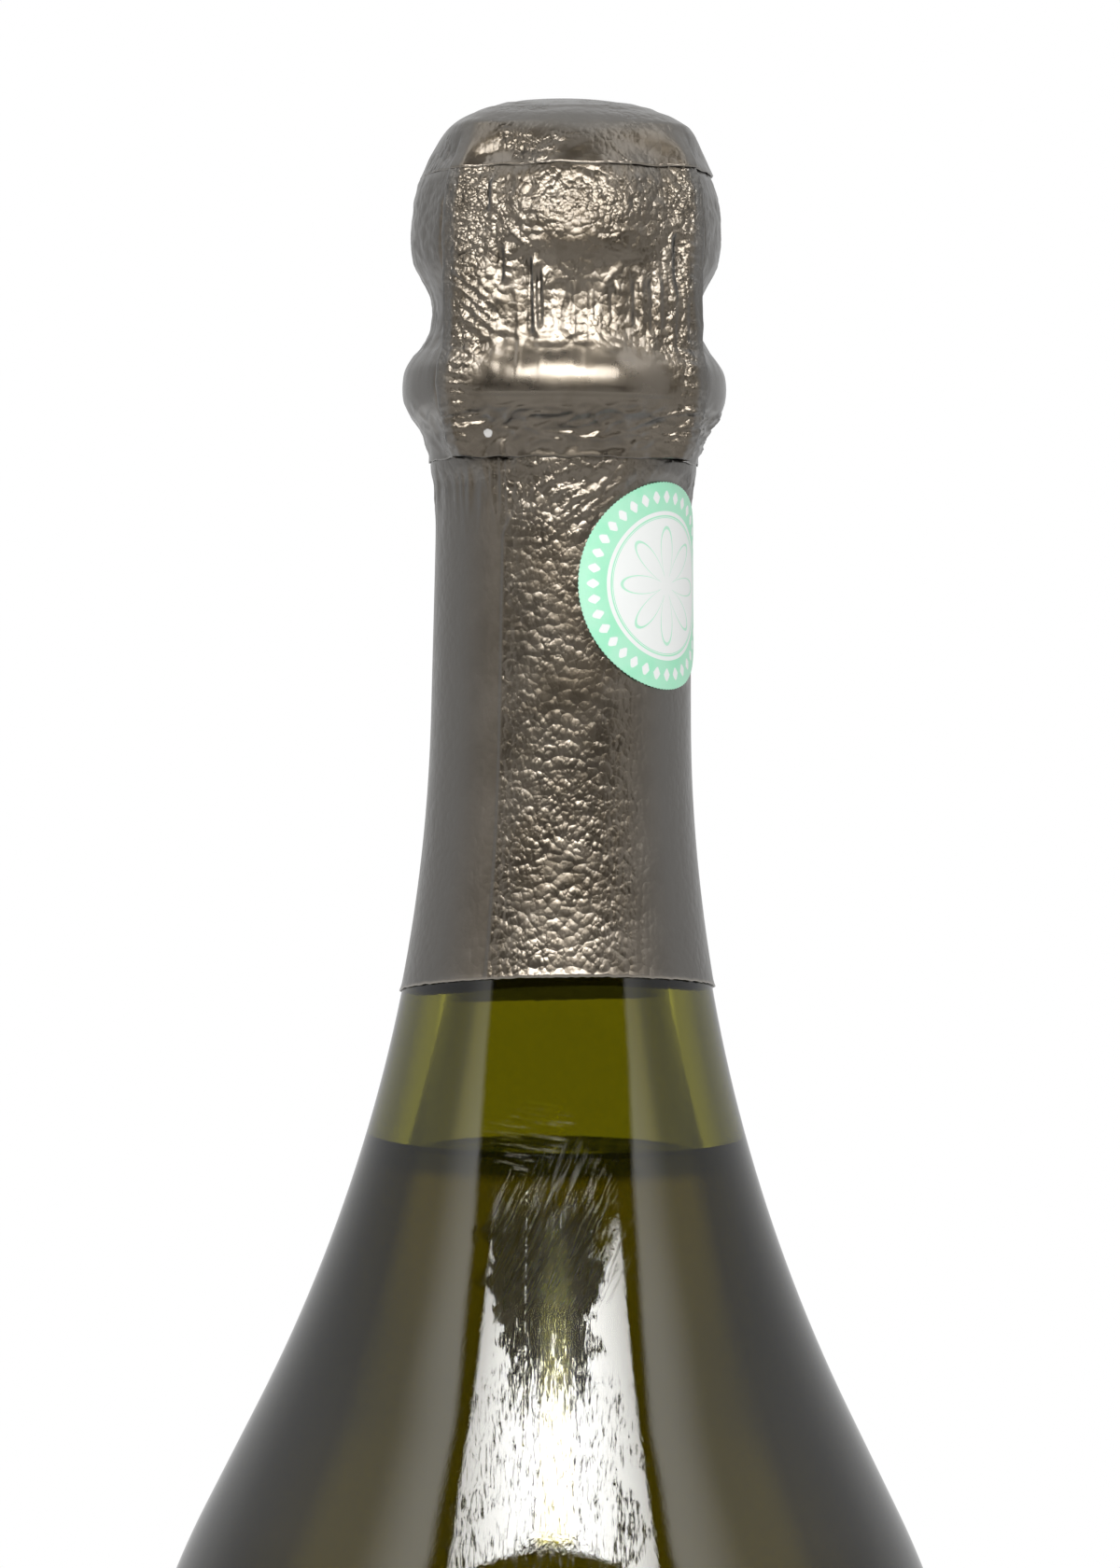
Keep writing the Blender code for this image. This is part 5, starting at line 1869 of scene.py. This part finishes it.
@dataclass
class Sleeve(Foil):
    """The foil on the neck, with its lap seam, its gathers under the ring and a torn lower edge.

    Heights are counted from the rim.
    """

    top_drop: float = 0.0175
    length: float = 0.0534
    dip: float = 0.0017
    tilt: float = 0.0004
    row: float = 0.00033
    blank: float = 0.0135
    stand: float = 0.00003
    fray: float = 0.00013
    facet: float = 0.00004
    gather_band: Pair = (-0.0270, -0.0185)
    gather_depth: float = 0.00022
    upright_depth: float = 0.00026
    drag_lean: float = 31.0
    drag_depth: float = 0.00027
    lap_azimuth: float = -27.2
    lap_turn: float = 22.0
    lap_depth: float = 0.00010
    flare_depth: float = 0.00010
    seal_clear: Pair = (0.0104, 0.0122)
    under_hood: float = 0.01332
    tucked_radius: float = 0.01379
    notch: Pair = (-27.0, 6.0)

    def wrinkles(self, azimuth: Array, height: Array, radius: Array) -> Array:
        """Presses the lap, the slanting drag and the upright gathers, clear of the seal.

        Args:
            azimuth: Where each point is, in degrees.
            height: Each point's height above the table.
            radius: The radius of the smooth sleeve.

        Returns:
            How much further out each point lies, in metres.
        """
        local = height - RIM
        across = azimuth * 0.000235
        lean = math.radians(self.drag_lean)
        along = across * math.cos(lean) + height * math.sin(lean)
        over = -across * math.sin(lean) + height * math.cos(lean)
        drag = crumple(np.column_stack([along, over, along * 0]), (0.0042, 0.00066, 1.0), 3.7) ** 2
        drag_zone = step_up(local, -0.0285, -0.0225)
        drag_zone = drag_zone * step_up(azimuth, -22.0, -6.0) * step_up(azimuth, 96.0, 60.0)
        gather = step_up(local, *self.gather_band)
        upright = crumple(np.column_stack([across, height, across * 0]), (0.0011, 0.0075, 1.0), 8.8) ** 2
        upright_zone = gather * (1 - 0.8 * drag_zone)
        off_lap = azimuth - self.lap_azimuth - self.lap_turn * step_up(local, -0.0265, -0.0180)
        lap = (step_up(off_lap, -0.9, 0.3) + 0.5 * hump(off_lap, 0.6, 0.8)) * step_up(azimuth, 120.0, 60.0)
        from_seal = np.hypot(np.radians(azimuth - SEAL_AZIMUTH) * radius, height - SEAL_HEIGHT)
        clear = step_up(from_seal, *self.seal_clear)
        pressed = self.drag_depth * drag * drag_zone + self.upright_depth * upright * upright_zone
        return self.lap_depth * lap + pressed * clear + self.gather_depth * gather * gather * clear

    def build(self, finish: Material, glass: Line) -> None:
        """Turns, wrinkles and dresses the sleeve.

        Args:
            finish: The foil's material.
            glass: The outline of the glass that it lies on.
        """
        top = RIM - self.top_drop
        outline = [(self.blank, h) for h in spread(top, top - self.length, int(self.length / self.row))]
        sleeve = lathe("foil_sleeve", outline, self.segments, self.smooth)
        points = self.forward(points_of(sleeve))
        azimuth, _, height = to_round(points)
        share = (top - height) / self.length
        turn = np.radians(azimuth)
        frayed = cloud(np.column_stack([azimuth * 0.00028, azimuth * 0, azimuth * 0]), (0.0011, 1, 1), 4.0, 3)
        edge = top - self.length - self.dip * (1 - np.cos(turn)) + self.tilt * np.sin(turn)
        edge = edge + frayed * self.fray
        height = top + (edge - top) * share
        local = height - RIM
        radius = reach_at(glass, height) + self.wall + self.stand
        facets = cloud(points, (0.0070, 0.0070, 0.0200), 6.1) * self.facet
        flare = step_up(share, 0.990, 1.0) * self.flare_depth
        radius += self.wrinkles(azimuth, height, radius) + np.maximum(facets, -0.00002) + flare
        radius = np.where(local > -0.0180, np.minimum(radius, self.under_hood), radius)
        tucked = step_up(local, -0.0175, -0.0178) * step_up(local, -0.0208, -0.0185)
        tucked = tucked * (1 - hump(azimuth, *self.notch))
        radius = radius + np.maximum(self.tucked_radius - radius, 0.0) * tucked
        zone = step_up(azimuth, -29.0, -26.0) * step_up(azimuth, 52.0, 30.0)
        low = step_up(local, -0.0480, -0.0600)
        relief = 0.12 + zone * (0.21 + 0.02 * low) + 0.12 * step_up(local, *self.gather_band)
        rim = step_up(share, 0.9950, 0.9985) * 0.8
        self.shape_sheet(sleeve, from_round(azimuth, radius, height), relief, rim)
        self.finish_sheet(sleeve, finish)
        seat(sleeve, Body.BOTTLE, "bronze_foil", "foil_neck_sleeve")


# Seal and labels


@dataclass
class Paper:
    """What the pasted papers share: their thickness and how they are laid on."""

    paper: float = 0.00012

    def thicken(self, sheet: Piece) -> None:
        """Turns a sheet's faces outwards and gives it its wall.

        Args:
            sheet: The sheet, laid on the glass.
        """
        take(sheet)
        edit_all()
        bpy.ops.mesh.normals_make_consistent(inside=False)
        edit_done()
        centre = sheet.data.polygons[len(sheet.data.polygons) // 2]
        if centre.normal.x * centre.center.x + centre.normal.y * centre.center.y < 0:
            bpy.ops.object.mode_set(mode="EDIT")
            bpy.ops.mesh.flip_normals()
            edit_done()
        apply_modifier(sheet, "SOLIDIFY", thickness=self.paper, offset=-1.0)
        bpy.ops.object.shade_smooth_by_angle(angle=math.radians(40))


@dataclass
class Seal(Paper):
    """The round seal over the foil on the neck."""

    radius: float = 0.01065
    teeth: int = 144
    tooth: float = 0.00009
    rings: int = 14
    stand: float = 0.00036
    ripple: float = 0.00004

    def cut(self) -> Piece:
        """Cuts the flat disc with its fine teeth and keeps its flat shape as a UV map.

        Returns:
            The disc, in the XZ plane.
        """
        clear_selection()
        upright = (math.pi / 2, 0, 0)
        bpy.ops.mesh.primitive_circle_add(vertices=2 * self.teeth, radius=self.radius, rotation=upright)
        seal = bpy.context.object
        seal.name = seal.data.name = "mint_seal"
        bpy.ops.object.transform_apply(location=True, rotation=True, scale=True)
        edit_all()
        for index in range(self.rings):
            shrink = (self.rings - index - 0.35) / (self.rings - index + 0.65)
            bpy.ops.mesh.extrude_region()
            bpy.ops.transform.resize(value=(shrink, shrink, shrink))
        bpy.ops.mesh.merge(type="CENTER")
        edit_done()
        points = points_of(seal)
        far = np.hypot(points[:, 0], points[:, 2])
        turn = np.arctan2(points[:, 0], points[:, 2])
        tooth = np.where(np.cos(turn * self.teeth) < 0, self.tooth, 0.0) * (far > self.radius * 0.995)
        points *= ((far - tooth) / np.maximum(far, 1e-9))[:, None]
        put_points(seal, points)
        unwrap_flat(seal, 2 * self.radius)
        return seal

    def build(self, effects: Effects, glass: Line) -> None:
        """Cuts the seal, wraps it on the neck and dresses it.

        Args:
            effects: The shared groups.
            glass: The outline of the glass.
        """
        seal = self.cut()
        points = points_of(seal)
        height = SEAL_HEIGHT + points[:, 2]
        side = reach_at(glass, height) + self.stand
        azimuth = SEAL_AZIMUTH + np.degrees(points[:, 0] / side)
        ripple = cloud(points, (0.005, 0.005, 0.005), 2.0) * self.ripple
        put_points(seal, from_round(azimuth, side + self.paper + ripple, height))
        self.thicken(seal)
        dress(seal, SealFinish().make(effects))
        seat(seal, Body.BOTTLE, "seal_paper", "seal_sticker")


@dataclass
class Label(Paper):
    """A blank label on the body."""

    name: str = "label_front"
    node: str = "front_label"
    azimuth: float = 0.0
    width: float = 0.078
    height: float = 0.066
    middle: float = 0.080
    corner: float = 0.004
    stand: float = 0.00008
    ripple: float = 0.00005

    def cut(self) -> Piece:
        """Cuts the flat sheet with round corners and keeps its flat shape as a UV map.

        Returns:
            The sheet, in the XZ plane.
        """
        clear_selection()
        bpy.ops.mesh.primitive_plane_add(size=1.0, rotation=(math.pi / 2, 0, 0))
        label = bpy.context.object
        label.name = label.data.name = self.name
        label.scale = (self.width, self.height, 1.0)
        bpy.ops.object.transform_apply(location=True, rotation=True, scale=True)
        edit_all()
        bpy.ops.mesh.bevel(offset=self.corner, segments=10, affect="VERTICES")
        for place in spread(-self.width / 2, self.width / 2, 60)[1:-1]:
            bpy.ops.mesh.select_all(action="SELECT")
            bpy.ops.mesh.bisect(plane_co=(place, 0, 0), plane_no=(1, 0, 0))
        for place in spread(-self.height / 2, self.height / 2, 40)[1:-1]:
            bpy.ops.mesh.select_all(action="SELECT")
            bpy.ops.mesh.bisect(plane_co=(0, 0, place), plane_no=(0, 0, 1))
        edit_done()
        unwrap_flat(label, LABEL_SPAN)
        return label

    def build(self, effects: Effects, glass: Line) -> None:
        """Cuts the label, wraps it on the body and dresses it.

        Args:
            effects: The shared groups.
            glass: The outline of the glass.
        """
        label = self.cut()
        points = points_of(label)
        up = self.middle + points[:, 2]
        side = reach_at(glass, up) + self.stand + self.paper
        bulge = cloud(points, (0.012, 0.012, 0.012), self.azimuth + 2.0)
        ripple = np.maximum(bulge, -0.3) * self.ripple
        put_points(label, from_round(self.azimuth + np.degrees(points[:, 0] / side), side + ripple, up))
        self.thicken(label)
        finish = LabelFinish(width=self.width, height=self.height)
        dress(label, finish.make(effects, self.name + "_paper"))
        seat(label, Body.BOTTLE, "label_paper", self.node)


# Studio


@dataclass(frozen=True)
class Lamp:
    """A rectangular lamp: its place, the point it faces, its width and height, and its glow.

    A glow of 1 is a white surface.
    """

    name: str
    stands: tuple[float, float, float]
    faces: tuple[float, float, float]
    size: Pair
    glow: float

    def hang(self) -> Piece:
        """Hangs the lamp.

        Returns:
            The lamp, unseen by the camera.
        """
        width, height = self.size
        light = bpy.data.lights.new(self.name, "AREA")
        light.shape = "RECTANGLE"
        light.size, light.size_y = width, height
        light.energy = self.glow * math.pi * width * height
        holder = bpy.data.objects.new(self.name, light)
        place = Vector(self.stands)
        holder.location = place
        holder.rotation_euler = (Vector(self.faces) - place).to_track_quat("-Z", "Y").to_euler()
        holder.visible_camera = False
        bpy.context.collection.objects.link(holder)
        return holder


@dataclass
class Studio:
    """The camera, the white tent, the lamps and the table.

    The tent's fields are the arguments of ramp: over how much a direction points up or ahead, and how
    bright the tent is there.
    """

    eye_height: float = 0.2436
    eye_distance: float = 0.62
    lean: float = 0.63
    lens: float = 137.2
    sensor: float = 36.0
    strip: Lamp = Lamp("gloss_strip", (0.003, -0.19, 0.361), (0.003, -0.01, 0.300), (0.280, 0.056), 1.0)
    strip_glow: float = 515.0
    strip_fade: float = 5.0
    spark: Lamp = Lamp("inner_glint", (0.004, -0.19, 0.352), (0, -0.01, 0.300), (0.050, 0.045), 40.0)
    wide: Lamp = Lamp("soft_front", (-0.10, -0.90, 0.85), (0, 0, 0.18), (0.50, 0.40), 9.0)
    front_edge: tuple[float, ...] = (0.30, 0.60, 0.62, 0.69)
    front_soft: Pair = (0.03, -0.03)
    walls: tuple[float, ...] = (0.25, 0.60, 0.64, 0.95)
    bank_ahead: Pair = (0.25, 0.64)
    bank_up: tuple[float, ...] = (0.15, 0.62, 0.45, 1.9)
    roof: Pair = (0.76, 0.88)
    roof_glow: float = 0.95
    ground: Pair = (-0.12, -0.30)
    dark_glow: float = 0.010
    diffuse_light: Colour = (0.60, 0.60, 0.60)
    table_radius: float = 0.60
    table_drop: float = 0.0002
    table_fade: Pair = (0.16, 0.50)

    def build(self) -> None:
        """Sets up everything that isn't part of the bottle."""
        self.place_camera()
        self.paint_world()
        self.place_lamps()
        self.place_table()
        bpy.context.scene.view_settings.view_transform = "Standard"

    def place_camera(self) -> None:
        """Looks along +Y at the neck, leaning as the photograph does."""
        camera = bpy.data.cameras.new("camera")
        camera.lens = self.lens
        camera.sensor_width = self.sensor
        holder = bpy.data.objects.new("camera", camera)
        holder.location = (0, -self.eye_distance, self.eye_height)
        holder.rotation_euler = (math.pi / 2, -math.radians(self.lean), 0)
        bpy.context.collection.objects.link(holder)
        bpy.context.scene.camera = holder

    def tent(self, board: Board) -> Socket:
        """Paints the tent that the reflections show: pale walls, roof and ground, and a dark front.

        Args:
            board: The world's board.

        Returns:
            How bright the tent is in each direction.
        """
        x, y, z = board.axes(board.place("TexCoord").outputs["Generated"])
        flat = board.larger(board.length(x, y), 0.001)
        ahead = board.math("DIVIDE", board.times(y, -1.0), flat)
        sides = board.ramp(board.minus(ahead, board.ramp(z, *self.front_edge)), *self.front_soft)
        bank = board.times(board.ramp(ahead, *self.bank_ahead), board.ramp(z, *self.bank_up))
        walls = board.times(sides, board.plus(board.ramp(z, *self.walls), bank))
        above = board.times(board.ramp(z, *self.roof), self.roof_glow)
        below = board.ramp(z, *self.ground)
        return board.plus(self.dark_glow, board.larger(walls, board.larger(above, below)))

    def paint_world(self) -> None:
        """Shows the tent to reflections, an even light to matt faces and plain white to the camera."""
        world = bpy.data.worlds.new("tent")
        bpy.context.scene.world = world
        world.use_nodes = True
        board = Board(world.node_tree)
        glow = self.tent(board)
        grey = board.place("CombineColor", None, {0: glow, 1: glow, 2: glow}).outputs[0]
        path = board.place("LightPath").outputs
        soft = board.mix(path["Is Diffuse Ray"], grey, self.diffuse_light)
        clear = board.larger(path["Is Camera Ray"], path["Is Transmission Ray"])
        colour = board.mix(clear, soft, (1.0, 1.0, 1.0))
        board.fill(world.node_tree.nodes["Background"], {"Color": colour})

    def place_lamps(self) -> None:
        """Hangs a close bright strip for the gloss, a small lamp for a glint and a wide soft one."""
        strip = self.strip.hang()
        strip.visible_diffuse = strip.visible_transmission = False
        strip.data.use_nodes = True
        board = Board(strip.data.node_tree)
        across = board.axes(board.place("NewGeometry").outputs["Parametric"])[0]
        off = board.minus(across, 0.5)
        fade = board.math("EXPONENT", board.times(off, off, -self.strip_fade))
        glow = board.times(fade, self.strip_glow)
        even = board.place("LightFalloff", None, {"Strength": glow}).outputs["Constant"]
        board.fill(board.tree.nodes["Emission"], {"Strength": even})
        spark = self.spark.hang()
        spark.visible_diffuse = spark.visible_glossy = False
        wide = self.wide.hang()
        wide.visible_glossy = wide.visible_transmission = False

    def place_table(self) -> None:
        """Lays a pale round table top that fades into the white behind it."""
        clear_selection()
        low = (0, 0, -self.table_drop)
        bpy.ops.mesh.primitive_circle_add(
            vertices=128, radius=self.table_radius, fill_type="NGON", location=low
        )
        table = bpy.context.object
        table.name = "table_top"
        made, board, shader = Finish.start("table_white")
        place = board.object_place()
        far = board.place("VectorMath", {"operation": "LENGTH"}, {0: place}).outputs["Value"]
        speck = board.ramp(board.grain(place, 900.0, 3.0), 0.3, 0.7)
        tone = board.mix(speck, (0.80, 0.80, 0.80), (0.83, 0.83, 0.83))
        board.fill(shader, {"Base Color": tone, "Roughness": 0.8})
        glow = board.place("Emission", None, {"Color": (1.0, 1.0, 1.0), "Strength": 1.0}).outputs[0]
        inputs = {0: board.ramp(far, *self.table_fade), 1: shader.outputs[0], 2: glow}
        blend = board.place("MixShader", None, inputs).outputs[0]
        board.fill(board.tree.nodes["Material Output"], {0: blend})
        dress(table, made)


def main() -> None:
    """Builds the studio and the bottle's pieces in order."""
    logging.basicConfig(level=logging.INFO, format="%(message)s")
    Studio().build()
    effects = Effects()
    bottle = Bottle()
    glass = bottle.outside()
    bottle.build(effects)
    Cork().build(effects)
    Plaque().build(effects)
    Muselet().build(effects)
    foil = FoilFinish().make(effects)
    Capsule().build(foil)
    Sleeve().build(foil, glass)
    Seal().build(effects, glass)
    Label().build(effects, glass)
    back = Label(name="label_back", node="back_label", azimuth=180.0, width=0.058, height=0.046)
    back.build(effects, glass)


if __name__ == "__main__":
    main()
